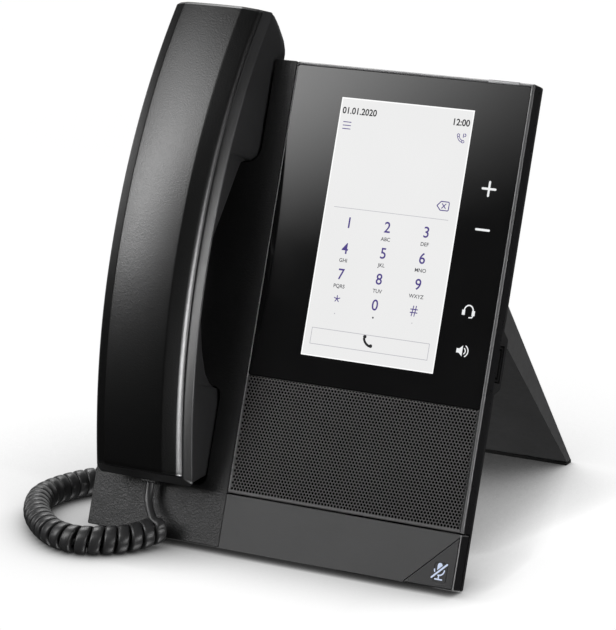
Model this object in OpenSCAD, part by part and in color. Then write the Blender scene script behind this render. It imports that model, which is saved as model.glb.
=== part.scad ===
// Desk IP phone: a leaning touch-screen base on a clip-on stand, with a corded handset.
// Frame: +Z up, +X to the user's right, the screen faces -Y.
// Origin: on the desk, below the middle of the base's front bottom edge.
// Most of the base is drawn in "face" axes, where x is width, v runs up the
// leaning front face and w points out of it, and face() stands it up.

/* [Base] */
// Width of the base, cradle and display together
base_w = 177; // [176:0.5:179]
// Height of the base measured up its leaning front face
base_h = 210.2; // [210:0.1:214]
// Lean of the front face, in degrees from the desk
tilt = 70.44; // [69:0.1:72]
// Height of the front bottom edge above the desk
lift = 3.4; // [3:0.1:4]
// Depth of the flat outer part of the base, front to back
slab_d = 9; // [9:0.1:10]
// Depth of the raised back that holds the boards
hump_d = 26; // [26:0.5:28]
// Thickness of the moulded covers
wall = 1.6; // [1.4:0.1:1.8]

/* [Display] */
// Distance from the cradle seam to the screen's visible area
screen_inset = 23.5; // [22:0.5:24]
// Width of the visible screen area
screen_w = 62.1; // [60:0.1:63]
// Height of the visible screen area
screen_h = 110.4; // [108:0.1:111]
// Lower edge of the black glass, up the face
glass_bottom = 74.5; // [74.4:0.1:75]
// Lower edge of the visible screen area, up the face
screen_bottom = 86.4; // [86:0.1:87]

/* [Speaker] */
// Number of hole columns in the speaker grille
grille_cols = 26; // [10:1:30]
// Number of hole rows in the speaker grille
grille_rows = 12; // [4:1:12]
// Diameter of one grille hole
grille_hole = 1.8; // [1:0.1:2.2]
// Outer diameter of the loudspeaker
speaker_d = 40; // [36:1:40]

/* [Chin] */
// Height of the smooth panel under the speaker grille
chin_h = 23; // [22.8:0.1:23.2]

/* [Handset] */
// Width of the handset at its widest line
handset_w = 48; // [47:0.1:48.4]
// Height of the handset's widest line above the face, at the middle of the handle
handset_rise = 28.2; // [27.5:0.1:29]
// Width of the flat centre band down the handset
handset_band = 28.6; // [26:0.2:30]

/* [Cord] */
// Outer diameter of the coiled part of the cord
coil_d = 12.4; // [11:0.1:13]
// Diameter of the straight part of the cord
cord_d = 3.6; // [3:0.1:4]

/* [Stand] */
// Width of the clip-on stand
stand_w = 115.6; // [112:0.1:118]
// Thickness of the stand's plates
stand_t = 2.4; // [2:0.1:3]
// Thickness of the rubber pads under the base
foot_t = 1.2; // [1:0.1:1.5]
// Thickness of the rubber strip under the stand
strip_t = 1.6; // [1.2:0.1:2]

/* [Quality] */
// Facets on round parts
$fn = 48; // [32:4:96]

/* [Hidden] */
half_w = base_w/2;
seam = -22.65;            // x of the seam between cradle and display
cradle_right = seam-0.08; // cover edges on each side of the seam
display_left = seam+0.08;
skirt = 7.2;              // depth of the front parts' side walls
handset_x = -58;          // x of the handset's middle

// Places on the face, [x, v]
cradle_screws = [[-80, 12], [-80, 152], [-27, 203]];
display_screw = [82, 203];
mute_screw = [82, 12];
chin_screw = [-18, 12];
housing_screw_pts = concat(cradle_screws, [display_screw, mute_screw, chin_screw]);
board_screw_pts = [[-30, 126], [66, 126], [-46, 72], [24, 72]];
speaker_at = [53, 48];
base_mic_at = [-12, 34];
hook_at = [handset_x, 186];
receiver_at = [handset_x, 190];
handset_mic_at = [handset_x, 50];

// ---------- helpers ----------
module face() translate([0, 0, lift]) rotate([tilt, 0, 0]) children();

// desk axes [y, z] of a point of the face axes
function face_point(v, w) = [v*cos(tilt) - w*sin(tilt), v*sin(tilt) + w*cos(tilt) + lift];

module box(x0, x1, y0, y1, z0, z1) translate([x0, y0, z0]) cube([x1-x0, y1-y0, z1-z0]);

module mid_box(x, half, y0, y1, z0, z1) box(x-half, x+half, y0, y1, z0, z1);

corner_steps = 6;
// points of a rectangle with rounded corners
function round_rect(x0, x1, y0, y1, r) = [for (q=[0:3], i=[0:corner_steps])
  let(a = q*90 + 90*i/corner_steps,
      cx = (q==0||q==3) ? x1-r : x0+r,
      cy = (q<2) ? y1-r : y0+r)
  [cx + r*cos(a), cy + r*sin(a)]];

module round_box(x0, x1, y0, y1, z0, z1, r)
  translate([0, 0, z0]) linear_extrude(z1-z0) polygon(round_rect(x0, x1, y0, y1, r));

// rounded box on the handset's centre line
module handset_box(half, v0, v1, w0, w1, r)
  round_box(handset_x-half, handset_x+half, v0, v1, w0, w1, r);

module rod(at, z0, z1, r) translate([at[0], at[1], z0]) cylinder(h=z1-z0, r=r);

module tube(at, z0, z1, outer_r, inner_r) difference() {
  rod(at, z0, z1, outer_r);
  rod(at, z0-1, z1+1, inner_r);
}

// an outline of [y, z] points extruded from x0 to x1
module side_prism(points, x0, x1)
  translate([x0, 0, 0]) rotate([90, 0, 90]) linear_extrude(x1-x0) polygon(points);

// a solid skinned over a list of equal-length rings of points
module skin(rings) {
  n = len(rings[0]);
  m = len(rings);
  polyhedron(points=[for (ring=rings, p=ring) p],
    faces=concat([[for (i=[n-1:-1:0]) i]],
      [for (j=[0:m-2], i=[0:n-1]) [j*n+i, j*n+(i+1)%n, (j+1)*n+(i+1)%n, (j+1)*n+i]],
      [[for (i=[0:n-1]) (m-1)*n+i]]), convexity=8);
}

function unit(a) = a/norm(a);

// a round bar along a path that is never vertical, with one radius per path point
module sweep_bar(path, radii, sides) skin([for (i=[0:len(path)-1])
  let(along = unit(path[min(i+1, len(path)-1)] - path[max(i-1, 0)]),
      across = unit(cross(along, [0, 0, 1])),
      normal = cross(across, along))
  [for (k=[0:sides-1])
    path[i] + radii[i]*(across*cos(360*k/sides) + normal*sin(360*k/sides))]]);

// Catmull-Rom curve through control points, with steps points per span
function catmull(p0, p1, p2, p3, t) =
  0.5*((2*p1) + (p2-p0)*t + (2*p0-5*p1+4*p2-p3)*t*t + (3*p1-p0-3*p2+p3)*t*t*t);
function curve(p, steps) = concat([for (i=[0:len(p)-2], j=[0:steps-1])
  catmull(p[max(i-1,0)], p[i], p[i+1], p[min(i+2,len(p)-1)], j/steps)], [p[len(p)-1]]);

// ---------- base covers ----------
hump_left = -86.4;
hump_right = 76;
hump_top = base_h-3;
hump_wall = 2;
bay_left = -52;          // bay cut into the hump from below, for the sockets
bay_right = 29;
bay_top = 44;
board_back = -10.9;      // w of the main board's back
board_t = 1.5;
jack_front = board_back-0.1;
handset_jack_x = -38;    // middles of the four sockets in the bay
headset_jack_x = -18;
pc_jack_x = 2;
lan_jack_x = 20;
latch_xs = [-46, 46];    // keyhole slots and the stand's hooks
latch_vs = [141, 151];
light_left = 67.4;       // message light in the top rim
light_right = 81.5;
// the two handset pockets in the cradle
ear_half = 24.8;
ear_v0 = 164.6;
ear_floor = -10.9;
mouth_half = 24.3;
mouth_v0 = 24.8;
mouth_v1 = 67.5;
mouth_floor = -7.1;
pocket_wall = 2;
recess_wall = pocket_wall+0.4;

module hump_outline(inset) polygon([
  [hump_left+inset, inset], [bay_left-inset, inset],
  [bay_left-inset, bay_top+inset], [bay_right+inset, bay_top+inset],
  [bay_right+inset, inset], [hump_right-inset, inset],
  [hump_right-inset, hump_top-inset], [hump_left+inset, hump_top-inset]]);

module rear_shell() union() {
  difference() {
    union() {
      round_box(-half_w, half_w, 0, base_h, -slab_d, -skirt-0.05, 0.9);
      // lip that fits inside the front covers
      round_box(-half_w+wall+0.15, half_w-wall-0.15, wall+0.15, base_h-wall-0.15,
        -skirt-0.05, -skirt+1.4, 1.5);
      translate([0, 0, -hump_d]) linear_extrude(hump_d-slab_d+0.5) hump_outline(0);
      // side bump that holds the USB socket
      side_prism([[81.6, -slab_d+0.2], [84.5, -14.3], [105, -14.3], [108.3, -slab_d+0.2]],
        hump_right-1, half_w);
      // thicker wall behind the mouth pocket
      box(-54.1, -29.9, 20.8, 45.9, -10.9, -slab_d+0.2);
    }
    // recess for the mouth pocket
    handset_box(mouth_half+recess_wall, mouth_v0-recess_wall, mouth_v1+recess_wall,
      -9.45, 1, 6.2);
    // inside of the slab and of the lip
    round_box(-half_w+wall+1.5, half_w-wall-1.5, wall+1.5, base_h-wall-1.5, -skirt-0.05, 0, 1);
    // inside of the hump
    translate([0, 0, -hump_d+hump_wall]) linear_extrude(hump_d) intersection() {
      hump_outline(hump_wall);
      translate([-half_w, 10]) square([base_w, base_h-18]);
    }
  }
  // screw posts, and posts under the main board
  for (p=cradle_screws) rod(p, -hump_d+1, -skirt-0.1, 3.7);
  for (p=board_screw_pts) rod(p, -hump_d+1, board_back-0.05, 2.7);
}

// a cut through the back wall of the hump
module back_cut(x, half, v0, v1) mid_box(x, half, v0, v1, -hump_d-1, -hump_d+3);

module rear_housing() color([0.13, 0.13, 0.135]) difference() {
  face() difference() {
    rear_shell();
    // notch where the ear pocket opens at the top edge
    box(-85.2, -30.9, 160, base_h+1, -13.4, 1);
    // gap in the lip where the front covers meet
    box(seam-2.4, seam+1.8, -1, base_h+1, -skirt-0.05, 0);
    // socket openings, facing down into the bay
    for (x=[handset_jack_x, headset_jack_x]) mid_box(x, 5.7, 40, 47, -22.4, -11);
    for (x=[pc_jack_x, lan_jack_x]) mid_box(x, 8.1, 40, 47, -24.3, -11);
    // USB opening on the right side
    box(hump_right-6, half_w+1, 86.6, 102.4, -12.2, -skirt-0.1);
    // keyhole slots for the stand's hooks
    for (x=latch_xs, v=latch_vs) {
      back_cut(x, 1.6, v-12, v+2.6);
      back_cut(x, 3.6, v-14.6, v-9.4);
    }
    // cooling slots
    for (i=[0:9], v=[176, 184]) back_cut(-57+i*12, 3, v, v+2);
    // wall-mount keyholes
    for (v=[70, 110]) {
      rod([-66, v], -hump_d-1, -hump_d+3, 4);
      back_cut(-66, 2, v, v+8);
    }
    // housing screw holes and board screw pilots
    for (p=housing_screw_pts) rod(p, -hump_d-1, 0, 1.6);
    for (p=board_screw_pts) rod(p, -18.5, -9, 1.05);
    for (p=cradle_screws) rod(p, -hump_d-1, -slab_d, 2.8);
  }
  // level cut above the two feet
  box(-100, 100, 8.6, 68.6, -20, foot_t);
}

module cradle_cover() color([0.19, 0.19, 0.195]) face() difference() {
  union() {
    difference() {
      round_box(-half_w, cradle_right, 0, base_h, -skirt, 0, 0.7);
      round_box(-half_w+wall, cradle_right-1, wall, base_h-wall, -skirt-1, -2, 1);
    }
    // outsides of the ear and mouth pockets
    handset_box(ear_half+pocket_wall, ear_v0-pocket_wall, base_h-0.02,
      ear_floor-pocket_wall, -1, 8.5);
    handset_box(mouth_half+pocket_wall, mouth_v0-pocket_wall, mouth_v1+pocket_wall,
      mouth_floor-pocket_wall, -1, 6);
    rod(hook_at, -13.6, -12, 5);
    for (p=cradle_screws) rod(p, -skirt+0.2, -1, 2.6);
  }
  // ear pocket, open at the top edge
  handset_box(ear_half, ear_v0, base_h+20, ear_floor, 1, 7);
  handset_box(mouth_half, mouth_v0, mouth_v1, mouth_floor, 1, 4);
  // guide bore of the hook plunger
  rod(hook_at, -15, -9, 3.05);
  for (p=cradle_screws) rod(p, -skirt-1, -2.4, 1.05);
}

// ---------- display ----------
screen_left = seam+0.65+screen_inset;
ribbon_left = screen_left+20;
ribbon_right = ribbon_left+18;

module display_frame() color([0.33, 0.33, 0.34]) face() difference() {
  union() {
    difference() {
      round_box(display_left, half_w, chin_h+0.6, base_h, -skirt, 0, 0.6);
      round_box(display_left+0.6, half_w-1.4, chin_h-5, base_h-1.3, -skirt-1, 1, 0.6);
    }
    // ledge that carries the glass, and the bar between glass and grille
    difference() {
      round_box(seam+0.5, half_w-1.2, chin_h+0.6, base_h-1, -3, -1.75, 0.6);
      box(seam+3.5, half_w-5, glass_bottom+4, base_h-5, -5, 0);
      box(seam+3.5, half_w-3.5, chin_h+3.5, glass_bottom-4, -5, 0);
    }
    rod(display_screw, -skirt+0.2, -2.5, 2.6);
  }
  // slot for the message light in the top rim
  box(light_left-0.1, light_right+0.1, base_h-1.4, base_h+1, -5, 1);
  rod(display_screw, -skirt-1, -3, 1.05);
}

module display_glass() color([0.02, 0.02, 0.022]) face()
  round_box(seam+0.75, half_w-1.5, glass_bottom, base_h-1.45, -1.2, -0.12, 1.2);

module touch_sensor() color([0.25, 0.22, 0.12]) face()
  round_box(seam+1.5, half_w-2.5, glass_bottom+1.2, base_h-2.5, -1.7, -1.25, 1);

// a sheet behind the visible area, reaching past it by side, below and above
module screen_sheet(side, below, above, w0, w1) face()
  box(screen_left-side, screen_left+screen_w+side,
    screen_bottom-below, screen_bottom+screen_h+above, w0, w1);

module lcd_cell() color([0.85, 0.86, 0.9]) screen_sheet(1.5, 3, 2, -2.8, -1.75);

module lcd_backlight() color([0.75, 0.76, 0.78]) screen_sheet(2.5, 6, 3, -5, -2.85);

module display_ribbon() color([0.75, 0.5, 0.15]) face() union() {
  box(ribbon_left, ribbon_right, screen_bottom-4, screen_bottom+20, -5.4, -5.05);
  box(ribbon_left, ribbon_right, screen_bottom+18, screen_bottom+20, -9.3, -5.2);
}

grille_pitch_x = (half_w-seam-12)/(grille_cols-0.5);
grille_pitch_v = (glass_bottom-chin_h-7.4)/(grille_rows-1);
module speaker_grille() color([0.16, 0.16, 0.165]) face()
  translate([0, 0, -1.1]) linear_extrude(0.95) difference() {
    polygon(round_rect(seam+0.8, half_w-1.5, chin_h+0.7, glass_bottom-0.15, 0.8));
    // every other row is shifted by half a pitch
    for (i=[0:grille_cols-1], j=[0:grille_rows-1])
      translate([seam+5+grille_pitch_x*(i+0.5*(j%2)), chin_h+4+grille_pitch_v*j])
        circle(d=grille_hole, $fn=24);
  }

module grille_cloth() color([0.05, 0.05, 0.05]) face()
  round_box(seam+1.2, half_w-1.9, chin_h+1, glass_bottom-0.5, -1.5, -1.15, 0.8);

module message_light_lens() color([0.8, 0.8, 0.8]) face()
  box(light_left, light_right, base_h-1.3, base_h-0.02, -4.6, -0.02);

module message_light_board() color([0.05, 0.3, 0.12]) face() union() {
  box(66, 79, base_h-5.2, base_h-4.2, -6.6, -3.1);
  for (x=[69, 75]) box(x, x+3, base_h-4.25, base_h-1.6, -5, -3.4);
}

// ---------- chin and mute key ----------
mute_x = half_w-7.5; // middle of the mute switch

module chin_panel() color([0.29, 0.29, 0.3]) face() difference() {
  union() {
    difference() {
      round_box(display_left, half_w-0.35, 0, chin_h, -skirt, 0, 0.6);
      round_box(seam+1.3, half_w-1.5, wall, chin_h+2, -skirt-1, -2, 0.6);
    }
    rod(mute_screw, -skirt+0.2, -3.4, 2.6);
    // rib from the screw post to the right wall
    box(83.5, half_w-1, 11, 13, -skirt+1.6, -3.4);
    rod(chin_screw, -skirt+0.2, -1, 2.6);
  }
  // opening for the mute key, open at the bottom edge
  translate([0, 0, -3.2]) linear_extrude(5)
    polygon([[half_w-24.85, -1], [half_w-0.95, -1], [half_w-0.95, 22.14]]);
  rod(mute_screw, -skirt-1, -3, 1.05);
  rod(chin_screw, -skirt-1, -2.4, 1.05);
}

module mute_key() color([0.29, 0.29, 0.3]) face() difference() {
  union() {
    translate([0, 0, -1.5]) linear_extrude(1.45)
      polygon([[half_w-23.1, 0.35], [half_w-1.25, 0.35], [half_w-1.25, 21.5]]);
    mid_box(mute_x, 1.5, 4.5, 7.5, -3.6, -1);
  }
  round_box(half_w-10.2, half_w-4.4, 2.4, 10.4, -0.6, 1.4, 1);
}

module mute_key_lens() color([0.75, 0.77, 0.82]) face()
  round_box(half_w-10.15, half_w-4.45, 2.45, 10.35, -0.58, -0.1, 0.95);

module mute_switch() color([0.1, 0.1, 0.1]) face() union() {
  mid_box(mute_x, 3, 3.4, 8.6, -6.2, -4.9);
  rod([mute_x, 6], -5, -4.25, 1.4);
}

module mute_board() color([0.05, 0.3, 0.12]) face() difference() {
  box(half_w-22, half_w-3.6, 3.6, 9.2, -7.15, -6.25);
  rod(mute_screw, -9, -1, 2.8);
}

// ---------- feet and stand ----------
// corners of the stand's side outline, [y, z]: inner is the lower face, outer the upper
top_outer = face_point(155.5, -hump_d-0.05);
top_inner = face_point(134.4, -hump_d-0.05);
foot_outer = [188.2, strip_t];
foot_inner = [183.6, strip_t];

// the point at y on the line from a to b, raised by dz
function on_line(a, b, y, dz) = [y, a[1] + (b[1]-a[1])*(y-a[0])/(b[0]-a[0]) + dz];

module base_feet() color([0.06, 0.06, 0.06]) union() {
  for (x=[-82, 41]) round_box(x, x+25, 11.5, 24.5, 0, foot_t-0.02, 3);
}

module stand_leg() color([0.23, 0.23, 0.235]) union() {
  difference() {
    side_prism([top_inner, foot_inner, foot_outer, top_outer], -stand_w/2, stand_w/2);
    // hollow between the plates, open towards the base
    side_prism([
      on_line(top_inner, foot_inner, 64, stand_t*1.5),
      on_line(top_inner, foot_inner, 164, stand_t*1.5),
      on_line(top_outer, foot_outer, 164, -stand_t*1.5),
      on_line(top_outer, foot_outer, 70, -stand_t*1.5)],
      -stand_w/2+stand_t, stand_w/2-stand_t);
    // opening for the cables through both plates
    mid_box(0, 22, 115, 195, 60, 82);
    mid_box(0, 22, 95, 175, 40, 62);
  }
  face() {
    // root bars that join the plates
    for (x=latch_xs) mid_box(x, 7, 136.4, 154, -hump_d-5, -hump_d-0.06);
    // hooks that lock in the keyholes
    for (x=latch_xs, v=latch_vs) {
      mid_box(x, 1.5, v-2.4, v+2.4, -hump_d-1, -hump_d+2.06);
      mid_box(x, 3.4, v-2.4, v+2.4, -hump_d+2.06, -hump_d+3.6);
    }
  }
}

module stand_foot_strip() color([0.05, 0.05, 0.05]) side_prism(
  [[183.2, 0], [188.8, 0], [188.8, strip_t-0.02], [183.2, strip_t-0.02]],
  -stand_w/2, stand_w/2);

// ---------- loudspeaker ----------
speaker_r = speaker_d/2;

// turns an outline of [radius, w] points about the speaker's axis
module speaker_turned(points) face()
  translate([speaker_at[0], speaker_at[1], 0]) rotate_extrude() polygon(points);

module speaker_gasket() color([0.08, 0.08, 0.08]) face()
  tube(speaker_at, -3.15, -1.55, speaker_r, speaker_r-2.5);

module speaker_basket() color([0.45, 0.45, 0.47]) speaker_turned([
  [speaker_r, -3.2], [speaker_r, -4.4], [speaker_r-3, -4.4], [12.8, -11.4], [12.8, -12],
  [9.5, -12], [9.5, -11.2], [11.8, -11.2], [speaker_r-4, -4.2], [speaker_r-2.6, -3.2]]);

module speaker_cone() color([0.12, 0.12, 0.13]) speaker_turned([
  [0, -7.2], [4, -7.8], [speaker_r-5.2, -3.6], [speaker_r-4.4, -3.2], [speaker_r-2.7, -3.2],
  [speaker_r-4.3, -3.7], [speaker_r-5.2, -4.1], [8.4, -9.4], [8.4, -11], [7.8, -11],
  [7.8, -9], [0, -8.2]]);

module speaker_magnet() color([0.5, 0.5, 0.52]) face() union() {
  rod(speaker_at, -18.5, -12.05, 13);
  rod(speaker_at, -12.1, -9.4, 7.4);
}

module speaker_box() color([0.1, 0.1, 0.1]) face() difference() {
  round_box(31.2, 73.8, 26.5, 69.5, -21, -4.5, 3);
  round_box(32.6, 72.4, 27.9, 68.1, -19.6, -4, 2);
  rod(speaker_at, -10, 0, speaker_r+0.3);
}

// ---------- boards and sockets ----------
module main_board() color([0.05, 0.32, 0.14]) face() difference() {
  translate([0, 0, board_back]) linear_extrude(board_t)
    polygon([[-50, 46.5], [bay_right, 46.5], [bay_right, 76], [70.5, 76], [70.5, 130], [-50, 130]]);
  for (p=board_screw_pts) rod(p, -12, -8, 1.2);
}

module shield_can() color([0.7, 0.7, 0.72]) face() difference() {
  box(-10, 26, 84, 116, -14.5, board_back-0.05);
  box(-9.7, 25.7, 84.3, 115.7, -14.2, -10);
}

// a socket behind the main board, opening downwards, with a slot for the plug's latch
module modular_jack(x, width, height, depth, open_w, open_h) face() difference() {
  back = jack_front-height;
  open_top = back+1.8+open_h;
  mid_box(x, width/2, bay_top+0.2, bay_top+depth, back, jack_front);
  mid_box(x, open_w/2, bay_top-1, bay_top+depth-4, back+1.8, open_top);
  mid_box(x, open_w/5, bay_top-1, bay_top+depth-6, back+1.8, open_top+1.5);
}

module network_jack(x) modular_jack(x, 15.9, 12.8, 21, 11.8, 7.2);
module cord_jack(x) modular_jack(x, 11.2, 11, 16, 7.8, 6.4);

module lan_jack() color([0.62, 0.63, 0.65]) network_jack(lan_jack_x);
module pc_jack() color([0.62, 0.63, 0.65]) network_jack(pc_jack_x);
module base_handset_jack() color([0.1, 0.1, 0.1]) cord_jack(handset_jack_x);
module base_headset_jack() color([0.1, 0.1, 0.1]) cord_jack(headset_jack_x);

module usb_port() color([0.6, 0.6, 0.62]) face() difference() {
  box(hump_right-5, half_w-0.6, 87.4, 101.6, -11.9, -7.4);
  box(hump_right-4, half_w+1, 88, 101, -11.5, -9.9);
  for (v=[88, 100]) box(hump_right-4, half_w+1, v, v+1, -11.5, -7.7);
}

module microphone_boot() color([0.07, 0.07, 0.07]) face()
  tube(base_mic_at, -5.2, -1.55, 4.4, 3.05);

module base_microphone() color([0.7, 0.7, 0.7]) face() rod(base_mic_at, -5, -2.6, 3);

module board_screws() color([0.7, 0.7, 0.72]) face() for (p=board_screw_pts) union() {
  rod(p, -9.35, -7.8, 2.3);
  rod(p, -17.5, -9.3, 1);
}

module housing_screws() color([0.35, 0.35, 0.36]) face() for (p=housing_screw_pts)
  difference() {
    union() {
      rod(p, -slab_d-1.7, -slab_d-0.05, 2.3);
      rod(p, -slab_d-0.1, -3.6, 1);
    }
    // cross slot
    for (half=[[1.6, 0.3], [0.3, 1.6]])
      mid_box(p[0], half[0], p[1]-half[1], p[1]+half[1], -slab_d-2, -slab_d-1);
  }

// ---------- hook switch ----------
spring_r = 4.4;
spring_path = [for (i=[0:66]) [hook_at[0]+spring_r*cos(i*30), hook_at[1]+spring_r*sin(i*30),
  -21.95 + 3.9*min(max((i-6)/54, 0), 1)]]; // flat half turns at both ends

module hook_plunger() color([0.12, 0.12, 0.12]) face() union() {
  rod(hook_at, -16.7, ear_floor+0.04, 3);
  rod(hook_at, -17.6, -16.65, 5.2);
  rod(hook_at, -20.55, -17.5, 1.3);
}

module hook_spring() color([0.75, 0.75, 0.77]) face()
  sweep_bar(spring_path, [for (p=spring_path) 0.33], 6);

// a box centred on the hook's axis
module hook_box(half_x, half_v, w0, w1)
  mid_box(hook_at[0], half_x, hook_at[1]-half_v, hook_at[1]+half_v, w0, w1);

module hook_switch() color([0.15, 0.15, 0.16]) face() union() {
  hook_box(2.5, 2.5, -22.35, -21.2);
  rod(hook_at, -21.25, -20.6, 1.2);
}

module hook_board() color([0.05, 0.32, 0.14]) face() hook_box(10, 9, -23.95, -22.4);

// ---------- handset ----------
handset_half = handset_w/2;
handset_v0 = 24.4; // lower end
// height of the handset's widest line above the face, at v up the face
function widest(v) = handset_rise
  - (v>120 ? 20.8*pow((v-120)/108.7, 2.15) : 17.3*pow((120-v)/94, 2));

// underside: v, w of the side wall's lower edge, w of the middle
underside = [
  [24.4, 9.6, 9.2], [27.5, 2.3, 1.8], [29.6, -4, -4.6], [32.5, -6.6, -7],
  [64, -6.6, -7], [66.2, -5, -5.6], [67, 4, 2], [71.4, 13.5, 8.5],
  [80.8, 19.6, 13.4], [97.6, 26.6, 18.4], [112, 27.4, 19.6], [126, 26.9, 19],
  [132.8, 24.6, 17.6], [145.8, 19.5, 13], [162.6, 13.2, 6], [165.4, 4, 0],
  [165.6, -8.4, -8.8], [168, -10.3, -10.8], [214.8, -10.3, -10.8], [219.2, -7.5, -8],
  [225.2, 0, -0.6], [228.9, 6.4, 5.9]];
function under_edge(v) = lookup(v, [for (s=underside) [s[0], s[1]]]);
function under_mid(v) = lookup(v, [for (s=underside) [s[0], s[2]]]);
// half width of the underside's flat middle
function under_half(v) = lookup(v, [[24.4, 21.5], [66.2, 21.8], [71.4, 18], [97.6, 14],
  [126, 14], [162.6, 17], [165.6, 18.6], [168, 21.2], [171, 21.8], [228.9, 21.5]]);
// how far the side wall's lower edge steps in at the pocket corners
function tuck(v) = lookup(v, [[24.4, 0], [60, 0], [66.2, 1.7], [67, 1.7], [71.4, 0],
  [162.6, 0], [165.4, 3.8], [165.6, 3.8], [168, 0.7], [171, 0]]);

// v of the handset's cross-sections
stations = [24.4, 27.5, 29.6, 32.5, 40, 52, 64, 66.2, 67, 71.4, 80.8, 89, 97.6, 105, 112,
  119, 126, 132.8, 139, 145.8, 154, 162.6, 165.4, 165.6, 168, 178, 188, 198, 207, 214.8,
  219.2, 225.2, 228.9];
// the outer shell skips one station at each pocket step
outer_stations = [for (s=stations) if (s!=66.2 && s!=165.4) s];

// v of the cavity's section for an outside station, moved in to leave a wall
function cavity_v(v) =
  v<30 ? v+0.6 :
  v>218 ? v-0.8 :
  v>66 && v<67.5 ? v-2 :
  v>165 && v<165.5 ? v+2 :
  v>165.5 && v<168 ? v+2.1 : v;

// the lower end is slanted: its points above the widest line move up the face
function slant_v(v, w, wide) = v==handset_v0 ? v + max(0, min(w, wide+4)-wide)*0.6 : v;

function inner_ring(v) =
  let(wide = widest(v), edge = min(under_edge(v), wide-0.4),
      mid = min(under_mid(v), edge-0.3), half = under_half(v),
      edge_half = handset_half-0.6-tuck(v))
  [for (p=[[-edge_half, edge], [-half, mid], [half, mid], [edge_half, edge],
      [handset_half, wide], [20.2, wide+5.6], [-20.2, wide+5.6], [-handset_half, wide]])
    let(at_v = slant_v(v, p[1], wide)) [p[0], at_v, p[1]+widest(at_v)-wide]];

function cavity_ring(v) =
  let(wide = widest(v), mid = min(under_mid(v), wide-0.7)+2, half = under_half(v)-1.6,
      side = min(handset_half-2, half+6), side_w = max(mid+1.2, wide-1.5))
  [for (p=[[-half, mid], [half, mid], [side, side_w],
      [18.2, wide+8], [-18.2, wide+8], [-side, side_w]])
    [p[0], cavity_v(v), p[1]]];

module handset_inner_shell() color([0.17, 0.17, 0.175]) face() difference() {
  translate([handset_x, 0, 0]) skin([for (v=stations) inner_ring(v)]);
  translate([handset_x, 0, 0]) skin([for (v=stations) if (v>27 && v<224) cavity_ring(v)]);
  // ear holes
  for (a=[0:60:300]) rod(receiver_at + 5*[cos(a), sin(a)], -14, -5, 0.9);
  rod(receiver_at, -14, -5, 0.9);
  // mouth hole
  rod(handset_mic_at, -9, -2, 1);
  // socket opening for the cord plug, in the lower end
  mid_box(handset_x, 5.8, 20, 33, -1.2, 10.2);
  for (v=[40, 210]) rod([handset_x, v], -14, 0, 1.6);
}

function outer_ring(v) = let(wide = widest(v), band = handset_band)
  [for (p=[[-20, 5.7], [20, 5.7], [20, 6.1], [band/2, 10], [band/4, 10.9],
      [-band/4, 10.9], [-band/2, 10], [-20, 6.1]])
    [p[0], v, wide+p[1]]];

function outer_cavity_ring(v) = let(wide = widest(v), half = handset_band/2-1)
  [for (p=[[-18, 4], [18, 4], [18, 5.9], [half, 8.3], [-half, 8.3], [-18, 5.9]])
    [p[0], v, wide+p[1]]];

module handset_outer_shell() color([0.1, 0.1, 0.105]) face() difference() {
  translate([handset_x, 0, 0])
    skin([for (v=outer_stations) if (v!=27.5) outer_ring(max(v, handset_v0+2.6))]);
  translate([handset_x, 0, 0])
    skin([for (v=outer_stations) if (v>29 && v<226) outer_cavity_ring(v)]);
}

module receiver_capsule() color([0.6, 0.6, 0.62]) face() union() {
  rod(receiver_at, -7.4, -2.2, 14);
  rod(receiver_at, -2.3, -0.6, 9);
}

module receiver_gasket() color([0.08, 0.08, 0.08]) face()
  tube(receiver_at, -8.7, -7.45, 13.5, 9);

module handset_microphone_boot() color([0.08, 0.08, 0.08]) face()
  tube(handset_mic_at, -4.9, -0.6, 6.2, 4.9);

module handset_microphone() color([0.7, 0.7, 0.72]) face() rod(handset_mic_at, -4.9, -1, 4.85);

module handset_weight() color([0.55, 0.55, 0.57]) face() handset_box(9, 96, 130, 24.5, 30.5, 2);

module handset_jack() color([0.1, 0.1, 0.1]) face() difference() {
  mid_box(handset_x, 5.6, 29.9, 43, -0.9, 10);
  mid_box(handset_x, 3.9, 28, 40.5, 1.4, 7.8);
}

// v, w of the head, w of the tip
module handset_screws() color([0.5, 0.5, 0.52]) face()
  for (s=[[40, -6.8, -1.4], [210, -10.7, 4]]) union() {
    rod([handset_x, s[0]], s[1], s[1]+1.7, 1.5);
    rod([handset_x, s[0]], s[1]+1.6, s[2], 1.1);
  }

// ---------- cord ----------
coil_z = coil_d/2;
// route of the cord: down from the handset, coiled round the left of the base, up to its socket
cord_path = curve([
  concat([handset_x], face_point(22.2, 4.4)), [-57, -0.6, 18], [-52.6, -6.6, 10.6],
  [-47.5, -10, 7.2], [-49.5, -12.2, coil_z], [-56, -16.8, coil_z], [-63, -22, coil_z],
  [-70.4, -26, coil_z], [-80, -26.9, coil_z], [-93, -22.3, coil_z], [-108.6, -8.3, coil_z],
  [-119.2, 9.1, coil_z], [-120.6, 20.9, coil_z], [-118.2, 31.9, coil_z],
  [-113, 42.5, coil_z], [-104, 52, coil_z], [-90, 57, coil_z], [-72, 58, coil_z],
  [-60, 54, 8], [-48, 45, 15], [-40.5, 38, 23], [-38, 35, 30.5]], 3);
// thin at both ends, full over the coil
cord_radii = [for (i=[0:len(cord_path)-1]) (i<11 || i>52) ? cord_d/2 : coil_d/2-0.01];

module cord_handset_plug() color([0.12, 0.12, 0.12]) face() union() {
  mid_box(handset_x, 3.8, 27, 40, 1.5, 7.4);
  mid_box(handset_x, 3.4, 22.4, 27.1, 1.9, 7);
}

module coiled_cord() color([0.16, 0.16, 0.165]) sweep_bar(cord_path, cord_radii, 14);

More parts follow.
